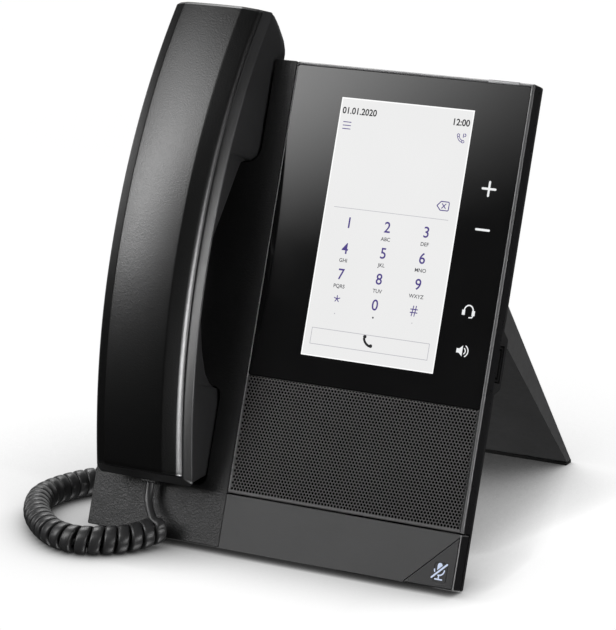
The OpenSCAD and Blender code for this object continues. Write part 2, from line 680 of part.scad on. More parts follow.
module cord_base_plug() color([0.12, 0.12, 0.12]) face() union() {
  mid_box(handset_jack_x, 3.8, bay_top-0.5, bay_top+11.5, -20, -14);
  mid_box(handset_jack_x, 3.4, bay_top-6, bay_top-0.4, -19.6, -14.4);
}

rear_housing();
cradle_cover();
display_frame();
display_glass();
touch_sensor();
lcd_cell();
lcd_backlight();
display_ribbon();
speaker_grille();
grille_cloth();
chin_panel();
mute_key();
mute_key_lens();
mute_switch();
mute_board();
message_light_lens();
message_light_board();
base_feet();
stand_leg();
stand_foot_strip();
speaker_gasket();
speaker_basket();
speaker_cone();
speaker_magnet();
speaker_box();
main_board();
shield_can();
lan_jack();
pc_jack();
base_handset_jack();
base_headset_jack();
usb_port();
microphone_boot();
base_microphone();
hook_plunger();
hook_spring();
hook_switch();
hook_board();
housing_screws();
board_screws();
handset_outer_shell();
handset_inner_shell();
receiver_capsule();
receiver_gasket();
handset_microphone();
handset_microphone_boot();
handset_weight();
handset_jack();
handset_screws();
cord_handset_plug();
coiled_cord();
cord_base_plug();
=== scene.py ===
"""A desk telephone: a leaning base with a tall display, a handset on the left and a coiled cord.

It stands on z = 0 with its front towards -Y and its right side towards +X.
Sizes are in millimetres unless said otherwise; meshes are written in metres.
Most pieces are placed in face axes: x is width, "up" runs up the leaning front and
"out" points out of it, towards the user.
"""
import math

import bmesh
import bpy
import numpy as np
from mathutils import Matrix, Vector


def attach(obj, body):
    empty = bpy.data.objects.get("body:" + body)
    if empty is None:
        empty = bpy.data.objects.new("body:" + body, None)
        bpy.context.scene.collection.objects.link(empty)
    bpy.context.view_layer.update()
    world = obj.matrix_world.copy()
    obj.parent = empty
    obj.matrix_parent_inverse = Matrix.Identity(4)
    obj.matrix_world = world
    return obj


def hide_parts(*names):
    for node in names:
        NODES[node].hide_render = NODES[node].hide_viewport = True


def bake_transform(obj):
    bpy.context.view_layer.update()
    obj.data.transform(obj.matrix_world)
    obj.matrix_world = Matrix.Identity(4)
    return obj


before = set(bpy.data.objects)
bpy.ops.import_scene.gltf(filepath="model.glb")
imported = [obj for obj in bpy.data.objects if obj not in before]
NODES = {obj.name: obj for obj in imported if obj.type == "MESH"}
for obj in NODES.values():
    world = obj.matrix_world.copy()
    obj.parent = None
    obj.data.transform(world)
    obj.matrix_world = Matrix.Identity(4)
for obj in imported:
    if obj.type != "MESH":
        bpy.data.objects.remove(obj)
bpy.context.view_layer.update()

SCENE = bpy.context.scene
MM = 0.001

# ---------------------------------------------------------------- face axes
LEAN = math.radians(70.44)      # slope of the front, from the table
COS, SIN = math.cos(LEAN), math.sin(LEAN)
LIFT = 3.4                      # height of the face origin above the table
RIGHT = 88.5                    # right edge of the base
SEAM = -22.65                   # seam between the cradle and the display side
HANDSET_X = -58.0               # middle of the handset


def face_mm(x, up, out):
    """Face axes to x, y, z in millimetres."""
    return (x, up * COS - out * SIN, up * SIN + out * COS + LIFT)


def on_face(x, up, out):
    """Face axes to x, y, z in metres."""
    return tuple(c * MM for c in face_mm(x, up, out))


def clamp01(value):
    return min(1.0, max(0.0, value))


# ---------------------------------------------------------------- node graphs
def rgba(colour):
    """Adds alpha to an RGB tuple; a socket passes through."""
    return (*colour, 1) if isinstance(colour, tuple) else colour


class Graph:
    """Fills one node tree. Inputs are keyed by name or number and hold values or sockets."""

    def __init__(self, tree):
        tree.nodes.clear()
        self.tree = tree

    def node(self, kind, inputs=None, **settings):
        node = self.tree.nodes.new("ShaderNode" + kind)
        # settings go first because they decide which sockets are in use
        for key, value in settings.items():
            setattr(node, key, value)
        self.feed(node, inputs or {})
        return node

    def feed(self, node, inputs):
        for key, value in inputs.items():
            if isinstance(value, bpy.types.NodeSocket):
                self.tree.links.new(value, node.inputs[key])
            else:
                node.inputs[key].default_value = value

    def coords(self):
        return self.node("TexCoord").outputs["Object"]

    def split(self, vector):
        return self.node("SeparateXYZ", {0: vector}).outputs

    def noise(self, coords, scale, detail=3.0, roughness=0.55, stretch=None):
        if stretch:
            mapping = self.node("Mapping", {"Scale": stretch, "Vector": coords})
            coords = mapping.outputs["Vector"]
        inputs = {"Scale": scale, "Detail": detail, "Roughness": roughness, "Vector": coords}
        return self.node("TexNoise", inputs).outputs["Fac"]

    def remap(self, value, to=(0, 1), span=(0.3, 0.7)):
        """Maps span onto to, clamped."""
        inputs = {"From Min": span[0], "From Max": span[1], "To Min": to[0], "To Max": to[1],
                  "Value": value}
        return self.node("MapRange", inputs, clamp=True).outputs["Result"]

    def mix(self, factor, first, second, blend_type="MIX"):
        inputs = {"Factor": factor, "A": rgba(first), "B": rgba(second)}
        node = self.node("Mix", inputs, data_type="RGBA", blend_type=blend_type)
        return node.outputs["Result"]

    def math(self, operation, *values):
        return self.node("Math", dict(enumerate(values)), operation=operation).outputs[0]

    def ramp(self, value, stops, interpolation="LINEAR", blue=1.0):
        """A grey ramp from (position, grey) stops; blue scales the blue channel."""
        node = self.node("ValToRGB", {"Fac": value})
        node.color_ramp.interpolation = interpolation
        elements = node.color_ramp.elements
        for i, (position, grey) in enumerate(stops):
            if i == 0:
                element = elements[0]
            elif i == len(stops) - 1:
                element = elements[-1]
            else:
                element = elements.new(position)
            element.position = position
            element.color = (grey, grey, grey * blue, 1)
        return node.outputs["Color"]

    def bump(self, height, strength, distance):
        """distance is in metres."""
        inputs = {"Strength": strength, "Distance": distance, "Height": height}
        return self.node("Bump", inputs).outputs["Normal"]


MATERIALS = {}


def new_material(name):
    material = bpy.data.materials.new(name)
    material.use_nodes = True
    MATERIALS[name] = material
    return Graph(material.node_tree)


def new_surface(name):
    """A material that ends in a Principled shader: its graph, shader and coordinates."""
    graph = new_material(name)
    shader = graph.node("BsdfPrincipled")
    graph.node("OutputMaterial", {"Surface": shader.outputs["BSDF"]})
    return graph, shader, graph.coords()


# ---------------------------------------------------------------- kinds of material
def finish(name, rgb, rough=0.45, metal=0.0, spec=0.5, mottle=0.10, mottle_scale=45.0,
           rough_var=0.08, rough_scale=260.0, grain=0.12, grain_scale=2600.0, grain_mm=0.02,
           stretch=None, coat=0.0, speck=0.0, speck_scale=1500.0, glow=None, glow_power=0.0,
           wave=None, side=None, edge_highlight=None):
    """A moulded or finished surface: colour mottling, roughness drift and a fine grain.

    mottle, rough_var: how far colour and roughness wander; grain: strength of the bump
    speck: brightness of pale flecks; stretch: noise scale per axis; wave: scale of a weave
    side: painted shade, a darker colour for the flank facing +X; a painted highlight along the
    right edge is given as (x in metres, colour)
    """
    graph, shader, coords = new_surface(name)
    dark = tuple(c * (1 - mottle) for c in rgb)
    light = tuple(min(1.0, c * (1 + mottle)) for c in rgb)
    clouds = graph.noise(coords, scale=mottle_scale, detail=4.0, roughness=0.6)
    colour = graph.mix(graph.remap(clouds), dark, light)
    if speck:
        flecks = graph.noise(coords, scale=speck_scale, detail=2.0, roughness=0.7)
        colour = graph.mix(graph.remap(flecks, span=(0.52, 0.74)), colour,
                           (speck, speck, speck * 1.02), blend_type="ADD")
    # painted highlight: a light strip right of the given x stands in for the light caught along
    # the right edge
    if edge_highlight:
        edge, highlight_colour = edge_highlight
        across = graph.split(coords)[0]
        painted = graph.remap(across, span=(edge - 0.00004, edge + 0.00004))
        colour = graph.mix(painted, colour, highlight_colour)
    shader_inputs = {
        "Metallic": metal, "Specular IOR Level": spec, "IOR": 1.5,
        "Coat Weight": coat, "Coat Roughness": 0.08,
    }
    if glow:
        shader_inputs["Emission Color"] = rgba(glow)
        shader_inputs["Emission Strength"] = glow_power
    graph.feed(shader, shader_inputs)
    if side:
        # painted shade: the flank facing +X gets a darker colour and less specular, standing in
        # for the shade on that side
        facing = graph.split(graph.node("NewGeometry").outputs["True Normal"])[0]
        flank = (0.86, 0.95)
        colour = graph.mix(graph.remap(facing, span=flank), colour, side)
        sheen = graph.remap(facing, to=(spec, spec * 0.3), span=flank)
        graph.feed(shader, {"Specular IOR Level": sheen})
    drift = graph.noise(coords, scale=rough_scale, roughness=0.6, stretch=stretch)
    limits = (max(0.02, rough - rough_var), min(1.0, rough + rough_var))
    height = graph.noise(coords, scale=grain_scale, detail=2.0, roughness=0.5, stretch=stretch)
    if wave:
        weave = graph.node("TexWave", {"Scale": wave, "Distortion": 0.4, "Vector": coords})
        height = graph.math("ADD", height, weave.outputs["Fac"])
    graph.feed(shader, {
        "Base Color": colour,
        "Roughness": graph.remap(drift, to=limits),
        "Normal": graph.bump(height, strength=grain, distance=grain_mm * MM),
    })


def board(name):
    """Green solder mask with a brick pattern of tracks and pads under it."""
    graph, shader, coords = new_surface(name)
    tracks = graph.node("TexBrick", {
        "Scale": 160.0, "Mortar Size": 0.04,
        "Color1": (0.012, 0.10, 0.035, 1), "Color2": (0.02, 0.15, 0.05, 1),
        "Mortar": (0.05, 0.26, 0.10, 1), "Vector": coords,
    })
    pads = graph.remap(graph.noise(coords, scale=900.0, detail=1.0), span=(0.66, 0.68))
    graph.feed(shader, {
        "Base Color": graph.mix(pads, tracks.outputs["Color"], (0.6, 0.55, 0.42)),
        "Roughness": graph.remap(graph.noise(coords, scale=300.0), to=(0.28, 0.42)),
        "Normal": graph.bump(tracks.outputs["Fac"], strength=0.3, distance=0.00003),
    })


def screen(name, rgb, power=1.0):
    """A lit display layer: even light with a faint checker grid and a slow drift."""
    graph, shader, coords = new_surface(name)
    drift = graph.remap(graph.noise(coords, scale=14.0, detail=2.0),
                        to=(power * 0.985, power * 1.015))
    grid = graph.node("TexChecker", {"Scale": 9000.0, "Vector": coords}).outputs["Fac"]
    dimming = graph.remap(grid, to=(0.995, 1.0), span=(0, 1))
    graph.feed(shader, {
        "Base Color": (0.0, 0.0, 0.0, 1),
        "Emission Color": rgba(rgb),
        "Emission Strength": graph.math("MULTIPLY", drift, dimming),
        "Roughness": graph.remap(graph.noise(coords, scale=400.0), to=(0.25, 0.30)),
        "Specular IOR Level": 0.1,
    })


def painted_highlight_ramp(name, stops, rough=0.34):
    """Painted highlight for the handset's edge: metallic reflectance set by height, stronger lower
    down, standing in for the line of light along it. stops are (height in metres, reflectance).
    """
    graph, shader, coords = new_surface(name)
    low, high = stops[0][0], stops[-1][0]
    height = graph.remap(graph.split(coords)[2], span=(low, high))
    shine = graph.ramp(height, [((z - low) / (high - low), grey) for z, grey in stops],
                       interpolation="B_SPLINE", blue=1.01)
    vary = graph.remap(graph.noise(coords, scale=900.0, detail=2.0), to=(0.92, 1.0))
    drift = graph.noise(coords, scale=400.0)
    grain = graph.noise(coords, scale=1500.0, detail=2.0, roughness=0.5)
    graph.feed(shader, {
        "Base Color": graph.mix(1.0, shine, vary, blend_type="MULTIPLY"),
        "Metallic": 1.0,
        "Roughness": graph.remap(drift, to=(rough - 0.02, rough + 0.02)),
        "Normal": graph.bump(grain, strength=0.5, distance=0.00003),
    })


# ---------------------------------------------------------------- materials
# base mouldings
finish("housing_charcoal", (0.019, 0.019, 0.0195), rough=0.5,
       grain=0.35, grain_scale=2200, grain_mm=0.03)
finish("cradle_charcoal", (0.0145, 0.0145, 0.015), rough=0.46, speck=0.005,
       grain=1.0, grain_scale=1300, grain_mm=0.16)
# painted shade: darker colour for the flanks facing +X of the bezel, chin and mute key
PAINTED_FLANK_SHADE = (0.017, 0.017, 0.018)
# painted highlight: a lighter copy of the bezel colour, worn by the left run of the rim in place
# of the line of light along its edge
finish("bezel_painted_highlight", (0.20, 0.20, 0.205), rough=0.3, spec=0.7, grain_scale=3000)
finish("bezel_graphite", (0.11, 0.11, 0.113), rough=0.33, spec=0.6, grain_scale=3000,
       side=PAINTED_FLANK_SHADE)
# the flanks facing +X get painted shade
CHIN_TEXTURE = dict(rough=0.42, spec=0.45, mottle=0.05, grain=0.5, grain_scale=1500,
                    grain_mm=0.06, side=PAINTED_FLANK_SHADE)
# the chin's right edge gets a painted highlight strip
finish("chin_graphite", (0.055, 0.055, 0.056), edge_highlight=(0.0876, (0.26, 0.26, 0.262)),
       **CHIN_TEXTURE)
finish("mute_face", (0.034, 0.034, 0.0352), **CHIN_TEXTURE)
finish("enclosure_black", (0.018, 0.018, 0.018), rough=0.5, grain=0.4)
finish("stand_grey", (0.100, 0.100, 0.101), grain=0.3, grain_scale=1600, grain_mm=0.04)
finish("rubber_black", (0.008, 0.008, 0.008), rough=0.72,
       grain=0.6, grain_scale=1800, grain_mm=0.05)
finish("switch_black", (0.02, 0.02, 0.02), rough=0.4, grain=0.3)
finish("jack_black", (0.012, 0.012, 0.012), rough=0.35, grain=0.3)

# display stack and lenses; key_lens_white is a spare that no part wears
finish("cover_glass_black", (0.006, 0.006, 0.0062), rough=0.045, rough_var=0.015,
       rough_scale=30, spec=0.55, mottle=0.2, grain=0.01, grain_scale=120, grain_mm=0.01)
finish("touch_film_amber", (0.3, 0.22, 0.1), rough=0.3, wave=900, grain=0.4)
finish("lcd_cell_pale", (0.55, 0.57, 0.62), rough=0.12, spec=0.6, wave=1400, grain=0.1)
finish("backlight_tray", (0.62, 0.62, 0.64), rough=0.35, metal=0.9, stretch=(1, 12, 12),
       grain=0.3, grain_scale=900)
finish("ribbon_polyimide", (0.5, 0.24, 0.04), rough=0.3, wave=1200, grain=0.5)
finish("key_lens_white", (0.62, 0.64, 0.7), rough=0.28, grain=0.1,
       glow=(0.75, 0.8, 1.0), glow_power=0.05)
finish("message_lens_pale", (0.42, 0.42, 0.43), rough=0.3, coat=0.2)
board("board_green")

# loudspeaker and its grille
finish("grille_black", (0.100, 0.097, 0.098), rough=0.36, mottle=0.06,
       grain=0.1, grain_scale=3600)
finish("grille_margin", (0.012, 0.012, 0.012), rough=0.5, spec=0.3, mottle=0.2,
       grain=0.3, grain_scale=3000)
# painted shade: the hole walls of the plate are near black, standing in for the shade inside the
# holes
finish("grille_wall_painted_shade", (0.002, 0.002, 0.002), rough=0.6, spec=0.3, mottle=0.2,
       grain=0.2, grain_scale=3000)
finish("acoustic_cloth", (0.0025, 0.0025, 0.0025), rough=0.95, spec=0.1, wave=2600, grain=0.9)
finish("speaker_steel", (0.12, 0.12, 0.125), rough=0.4, metal=0.8, grain=0.3, grain_scale=1200)
finish("paper_cone", (0.03, 0.03, 0.032), rough=0.8, grain=0.8, grain_scale=1500, grain_mm=0.06)
finish("magnet_zinc", (0.4, 0.4, 0.41), rough=0.3, metal=0.9, grain=0.2, grain_scale=700)

# small metal parts
finish("tin_plate", (0.6, 0.6, 0.62), rough=0.25, metal=1.0, mottle=0.08,
       grain=0.25, grain_scale=900, stretch=(1, 8, 8))
finish("usb_tin", (0.012, 0.012, 0.012), metal=0.1, grain=0.2, grain_scale=900)
finish("screw_zinc", (0.5, 0.5, 0.52), rough=0.28, metal=1.0, grain=0.3, grain_scale=1600)
finish("spring_wire", (0.6, 0.6, 0.62), rough=0.2, metal=1.0, grain=0.2, grain_scale=1500,
       stretch=(6, 1, 1))
finish("capsule_can", (0.6, 0.6, 0.62), rough=0.3, metal=0.95, grain=0.25, grain_scale=1000)

# handset and cord
finish("handset_satin", (0.0022, 0.0022, 0.0023), rough=0.315, spec=0.76, speck=0.001,
       speck_scale=1100, mottle_scale=300, rough_var=0.03, rough_scale=900,
       grain=1.0, grain_scale=1600, grain_mm=0.06)
finish("handset_charcoal", (0.036, 0.036, 0.037), rough=0.30, rough_var=0.02, spec=0.6,
       grain=0.3, grain_scale=2400, grain_mm=0.03)
# painted highlight on the handset's rounded edge, stronger towards the bottom
painted_highlight_ramp("handset_edge_painted_highlight", [(0.034, 0.52), (0.048, 0.46), (0.069, 0.36), (0.089, 0.27),
                        (0.109, 0.19), (0.128, 0.15), (0.146, 0.088), (0.165, 0.078),
                        (0.22, 0.07)])
# painted highlight for a line of light low on the inner shell's sides
painted_highlight_ramp("handset_line_painted_highlight", [(0.034, 0.14), (0.075, 0.14), (0.085, 0.10), (0.1, 0.05), (0.22, 0.05)])
finish("cord_jacket", (0.035, 0.035, 0.036), rough=0.38, rough_var=0.03, spec=0.6,
       grain=0.15, grain_scale=1400, grain_mm=0.03)
finish("plug_black", (0.015, 0.015, 0.015), rough=0.3, grain=0.2)

# lit layers
screen("screen_white", (1.0, 1.0, 1.0), power=0.84)
screen("screen_edge", (1.0, 1.0, 1.0), power=1.05)
screen("ink_violet", (0.075, 0.05, 0.24))
screen("ink_grey", (0.09, 0.09, 0.10))
screen("ink_dark", (0.02, 0.02, 0.022))
screen("ink_pale", (0.52, 0.52, 0.55))
screen("icon_white", (0.86, 0.87, 0.88))
screen("icon_blue", (0.60, 0.68, 0.86))

# material: the CAD pieces that wear it
WORN_BY = {
    "housing_charcoal": "rear_housing",
    "cradle_charcoal": "cradle_cover",
    "bezel_graphite": "display_frame",
    "cover_glass_black": "display_glass",
    "touch_film_amber": "touch_sensor",
    "lcd_cell_pale": "lcd_cell",
    "backlight_tray": "lcd_backlight",
    "ribbon_polyimide": "display_ribbon",
    "grille_black": "speaker_grille",
    "acoustic_cloth": "grille_cloth",
    "chin_graphite": "chin_panel",
    "mute_face": "mute_key mute_key_lens",
    "switch_black": "mute_switch hook_plunger hook_switch",
    "board_green": "mute_board message_light_board main_board hook_board",
    "message_lens_pale": "message_light_lens",
    "rubber_black": "base_feet stand_foot_strip speaker_gasket microphone_boot "
                    "receiver_gasket handset_microphone_boot",
    "stand_grey": "stand_leg",
    "speaker_steel": "speaker_basket",
    "paper_cone": "speaker_cone",
    "magnet_zinc": "speaker_magnet handset_weight",
    "enclosure_black": "speaker_box",
    "tin_plate": "shield_can lan_jack pc_jack",
    "jack_black": "base_handset_jack base_headset_jack handset_jack",
    "usb_tin": "usb_port",
    "capsule_can": "base_microphone receiver_capsule handset_microphone",
    "spring_wire": "hook_spring",
    "screw_zinc": "housing_screws board_screws handset_screws",
    "handset_satin": "handset_outer_shell",
    "handset_charcoal": "handset_inner_shell",
    "plug_black": "cord_handset_plug cord_base_plug",
    "cord_jacket": "coiled_cord",
}
for material_name, parts in WORN_BY.items():
    for part in parts.split():
        NODES[part].data.materials.clear()
        NODES[part].data.materials.append(MATERIALS[material_name])

# ---------------------------------------------------------------- softened CAD edges
# width of the rounded edge on each moulded piece
EDGE_WIDTH = {
    "rear_housing": 0.35, "cradle_cover": 0.3, "display_glass": 0.12, "chin_panel": 0.28,
    "mute_key": 0.22, "base_feet": 0.3, "stand_leg": 0.45, "stand_foot_strip": 0.25,
    "hook_plunger": 0.3, "cord_handset_plug": 0.35, "cord_base_plug": 0.35,
    "lan_jack": 0.15, "pc_jack": 0.15, "base_handset_jack": 0.15, "base_headset_jack": 0.15,
    "usb_port": 0.12, "mute_key_lens": 0.1, "grille_cloth": 0.1, "housing_screws": 0.12,
}


def soften_edges(piece, width):
    """Merges doubles, joins coplanar triangles and rounds the edges."""
    weld = piece.modifiers.new("weld", "WELD")
    weld.merge_threshold = 2e-6
    planar = piece.modifiers.new("planar", "DECIMATE")
    planar.decimate_type = "DISSOLVE"
    planar.angle_limit = math.radians(0.6)
    edge = piece.modifiers.new("edge", "BEVEL")
    edge.width = width * MM
    edge.segments = 2
    edge.limit_method = "ANGLE"
    edge.angle_limit = math.radians(32)
    edge.use_clamp_overlap = True
    edge.miter_outer = "MITER_ARC"
    tidy = piece.modifiers.new("tidy", "WEIGHTED_NORMAL")
    tidy.keep_sharp = True
    for polygon in piece.data.polygons:
        polygon.use_smooth = True


for part, width in EDGE_WIDTH.items():
    soften_edges(NODES[part], width)


# ---------------------------------------------------------------- mesh helpers
def new_mesh(name, points, faces):
    mesh = bpy.data.meshes.new(name)
    mesh.from_pydata([tuple(map(float, point)) for point in points], [],
                     [tuple(int(i) for i in face) for face in faces])
    return mesh


def new_object(name, mesh):
    obj = bpy.data.objects.new(name, mesh)
    SCENE.collection.objects.link(obj)
    return obj


def turn_outward(mesh):
    work = bmesh.new()
    work.from_mesh(mesh)
    bmesh.ops.recalc_face_normals(work, faces=work.faces)
    work.to_mesh(mesh)
    work.free()


def shade(mesh, sharp_angle):
    mesh.polygons.foreach_set("use_smooth", [True] * len(mesh.polygons))
    mesh.set_sharp_from_angle(angle=math.radians(sharp_angle))
    mesh.update()


def add_mesh(name, points, faces, materials, body, sharp_angle=35.0, replaces=None,
             recalc=True, face_material=None):
    """Adds a mesh that rides on body. The first material gives its colour slot."""
    mesh = new_mesh(name, points, faces)
    mesh.validate()
    if recalc:
        turn_outward(mesh)
    for material in materials:
        mesh.materials.append(MATERIALS[material])
    if face_material is not None:
        mesh.polygons.foreach_set("material_index", np.asarray(face_material, np.int32))
    shade(mesh, sharp_angle)
    obj = new_object(name, mesh)
    if body:
        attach(obj, body)
    if replaces:
        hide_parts(replaces)
    return obj


def loft(rings):
    """Skins closed rings of equal size, with a cap on each end."""
    size = len(rings[0])
    points = [point for ring in rings for point in ring]
    faces = []
    for j in range(len(rings) - 1):
        for i in range(size):
            a, b = j * size + i, j * size + (i + 1) % size
            faces.append((a, b, b + size, a + size))
    faces.append(tuple(range(size - 1, -1, -1)))
    faces.append(tuple((len(rings) - 1) * size + i for i in range(size)))
    return points, faces


class Film:
    """Flat shapes drawn in (x, up) on the face, built as one thin raised mesh."""

    THICKNESS = 0.012

    def __init__(self):
        self.points, self.faces = [], []

    def polygon(self, points):
        first = len(self.points)
        self.points += [tuple(point) for point in points]
        self.faces.append(tuple(range(first, first + len(points))))

    def disc(self, x, up, radius, sides=16):
        turns = [2 * math.pi * i / sides for i in range(sides)]
        self.polygon([(x + radius * math.cos(a), up + radius * math.sin(a)) for a in turns])

    def stroke(self, points, width, close=False):
        """A line with round joints and ends."""
        points = [np.array(point, float) for point in points]
        if close:
            points = points + [points[0]]
        for a, b in zip(points[:-1], points[1:]):
            along = b - a
            side = np.array([-along[1], along[0]]) / np.linalg.norm(along) * width / 2
            self.polygon([a + side, a - side, b - side, b + side])
        for point in points:
            self.disc(point[0], point[1], width / 2, sides=10)

    def arc(self, x, up, radius, start, end, width, steps=14, radius_up=None):
        """An arc from start to end, in degrees."""
        radius_up = radius_up or radius
        turns = [math.radians(start + (end - start) * i / steps) for i in range(steps + 1)]
        self.stroke([(x + radius * math.cos(a), up + radius_up * math.sin(a)) for a in turns],
                    width)

    def text(self, words, x, up, size, align="CENTER", bold=0.0, wide=0.9):
        curve = bpy.data.curves.new("lettering", "FONT")
        curve.body = words
        curve.size = size
        curve.align_x = align
        curve.align_y = "CENTER"
        curve.resolution_u = 6
        curve.offset = bold
        obj = new_object("lettering", curve)
        bpy.context.view_layer.update()
        depsgraph = bpy.context.evaluated_depsgraph_get()
        mesh = bpy.data.meshes.new_from_object(obj.evaluated_get(depsgraph))
        first = len(self.points)
        self.points += [(vert.co.x * wide + x, vert.co.y + up) for vert in mesh.vertices]
        self.faces += [tuple(i + first for i in face.vertices) for face in mesh.polygons]
        bpy.data.objects.remove(obj)
        bpy.data.curves.remove(curve)
        bpy.data.meshes.remove(mesh)

    def build(self, name, material, out, body="root"):
        """Top faces lie at out, with short skirts below their open edges."""
        points = [on_face(x, up, level) for level in (out, out - self.THICKNESS)
                  for x, up in self.points]
        below = len(self.points)
        edges = {}
        for face in self.faces:
            for i in range(len(face)):
                edge = (face[i], face[(i + 1) % len(face)])
                key = (min(edge), max(edge))
                edges[key] = None if key in edges else edge
        skirts = [(e[0], e[0] + below, e[1] + below, e[1]) for e in edges.values() if e]
        add_mesh(name, points, self.faces + skirts, (material,), body, recalc=False)


# ---------------------------------------------------------------- handset
# The section is drawn in (x, depth), with depth measured out from the spine.
CREST_UP, CREST_OUT = 120, 28.2     # where the spine stands furthest out of the face
HALF_WIDTH = 24.0
SIDE_TOP = -0.45                    # depth where the inner shell's side wall starts
LOWEST, TOP_END = 24.4, 228.9
INNER_START, OUTER_START = 23.5, 27.2
CROWN, LIP = 10.9, 4.0              # depth of the outer shell's back and of its rim

# lower edge of the side wall: (up, out)
WALL_EDGE = [
    (24.4, 9.6), (27.5, 2.3), (29.6, -4), (32.5, -6.6), (64, -6.6), (66.2, -5), (67, 4),
    (71.4, 13.5), (80.8, 19.6), (97.6, 26.6), (112, 27.4), (126, 26.9), (132.8, 24.6),
    (145.8, 19.5), (162.6, 13.2), (165.4, 4), (165.6, -8.4), (168, -10.3), (214.8, -10.3),
    (219.2, -7.5), (225.2, 0), (228.9, 6.4)]
# underside along the middle: (up, out)
UNDERSIDE = [
    (24.4, 9.2), (27.5, 1.8), (29.6, -4.6), (32.5, -7), (64, -7), (66.2, -5.6), (67, 2),
    (71.4, 8.5), (80.8, 13.4), (97.6, 18.4), (112, 19.6), (126, 19), (132.8, 17.6),
    (145.8, 13), (162.6, 6), (165.4, 0), (165.6, -8.8), (168, -10.8), (214.8, -10.8),
    (219.2, -8), (225.2, -0.6), (228.9, 5.9)]
# half the breadth of the underside: (up, half breadth)
UNDERSIDE_HALF = [
    (24.4, 21.5), (66.2, 21.8), (71.4, 18), (97.6, 14), (126, 14), (162.6, 17),
    (165.6, 18.6), (168, 21.2), (171, 21.8), (228.9, 21.5)]
# how far the foot of the side wall tucks in: (up, tuck)
WALL_TUCK = [
    (24.4, 0), (60, 0), (66.2, 1.7), (67, 1.7), (71.4, 0), (162.6, 0), (165.4, 3.8),
    (165.6, 3.8), (168, 0.7), (171, 0)]
# edge of the inner shell, from its ledge round to the side wall: (x, depth)
INNER_SHOULDER = [
    (20.2, 3.58), (21.2, 3.58), (21.45, 3.48), (21.7, 3.22), (22.6, 1.96), (23.62, 0.53),
    (23.8, 0.24), (23.93, -0.06), (HALF_WIDTH, SIDE_TOP)]
# places along the handset: an even run, with more at the steps and near the ends
STATIONS = sorted(
    {round(up, 3) for up in np.linspace(LOWEST + 1.2, TOP_END - 1.3, 120)}
    | {24.7, 27.5, 29.6, 32.5, 66.0, 66.5, 67.0, 67.4, 165.2, 165.45, 165.6, 165.8, 166.6})


def spine(up):
    """How far out of the face the handset's spine lies."""
    if up > CREST_UP:
        return CREST_OUT - 20.8 * ((up - CREST_UP) / 108.7) ** 2.15
    return CREST_OUT - 17.3 * ((CREST_UP - up) / 94) ** 2


def smoothed(up, table):
    """Reads a table with a short running mean, kept very short near the two steps."""
    near_step = abs(up - 165.5) < 1.3 or abs(up - 66.7) < 1.0
    reach = 0.08 if near_step else 0.7
    ups, values = zip(*table)
    return float(np.mean([np.interp(up + step * reach, ups, values)
                          for step in (-1, -0.5, 0, 0.5, 1)]))


def with_ends(start, low_end, high_end):
    """(up, inset) pairs. The ends are (distance from the end, inset) and round it off."""
    return ([(start + distance, inset) for distance, inset in low_end]
            + [(up, 0.0) for up in STATIONS if up > start + 1.1]
            + [(TOP_END - distance, inset) for distance, inset in high_end])


def outer_profile():
    """The outer shell's open arch, left to right, as (x, depth)."""
    half = [(x, CROWN - 0.9 * (x / 14.3) ** 2) for x in np.linspace(0, 13.7, 9)]
    half += [(14.15, 10.0), (14.5, 9.8), (14.85, 9.58), (17.2, 7.98)]
    half += [(17.244 + 4.0 * math.sin(math.radians(a)), 3.113 + 4.0 * math.cos(math.radians(a)))
             for a in (34.2, 40, 46, 52, 58, 64, 70, 76.9)]
    half += [(21.08, 3.94), (20.9, 3.9), (19.4, 3.9)]
    return [(-x, depth) for x, depth in reversed(half[1:])] + half


# these faces wear the painted highlight material
ROUND_FACES = range(13, 20)         # faces of the rounded edge, counted from the middle


def build_handset_outer():
    profile = outer_profile()
    rings = []
    for up, inset in with_ends(OUTER_START, [(0.0, 0.7), (0.2, 0.3), (0.6, 0.06)],
                               [(1.15, 0.0), (0.35, 0.75), (0.0, 1.2)]):
        ring = []
        for x, depth in profile:
            rise = max(0.0, (depth - LIP) / (CROWN - LIP))
            sink = inset * (0.35 + 0.65 * rise) if depth > 4.1 else 0.0
            ring.append(on_face(HANDSET_X + x * (1 - inset / HALF_WIDTH), up,
                                spine(up) + depth - sink))
        rings.append(ring)
    points, faces = loft(rings)
    size, middle = len(profile), len(profile) // 2
    skin_faces = (len(rings) - 1) * size

    def is_round(face):
        column = face % size
        from_middle = column - middle if column >= middle else middle - 1 - column
        return face < skin_faces and from_middle in ROUND_FACES

    # the rounded edge gets the painted highlight material
    shell = add_mesh("handset_outer_skin", points, faces, ("handset_satin", "handset_edge_painted_highlight"),
                     None, sharp_angle=28,
                     face_material=[int(is_round(i)) for i in range(len(faces))])
    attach(shell, "handset")
    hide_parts("handset_outer_shell")


def inner_section(up, inset):
    """The inner shell's closed section at one station, as (x, depth)."""
    top = spine(up)
    edge_out = min(smoothed(up, WALL_EDGE), top - 0.9)
    floor_out = min(smoothed(up, UNDERSIDE), edge_out - 0.3)
    breadth = smoothed(up, UNDERSIDE_HALF)
    foot_x = 23.4 - smoothed(up, WALL_TUCK)
    edge, bottom = edge_out - top, floor_out - top
    right = [(x - inset, depth) for x, depth in INNER_SHOULDER]
    right += [(HALF_WIDTH - (HALF_WIDTH - foot_x) * t - inset,
               SIDE_TOP * (1 - t) + (edge + 0.5) * t) for t in (0.25, 0.5, 0.75, 1.0)]
    right += [(foot_x - 0.12 - inset, edge + 0.22),
              (foot_x - 0.45 - inset, edge + 0.02 + inset * 0.2),
              (breadth - inset, bottom + 0.05 + inset * 0.4),
              (breadth * 0.66, bottom + inset * 0.4),
              (breadth * 0.33, bottom + inset * 0.4)]
    return right + [(0.0, bottom + inset * 0.4)] + [(-x, z) for x, z in reversed(right)]


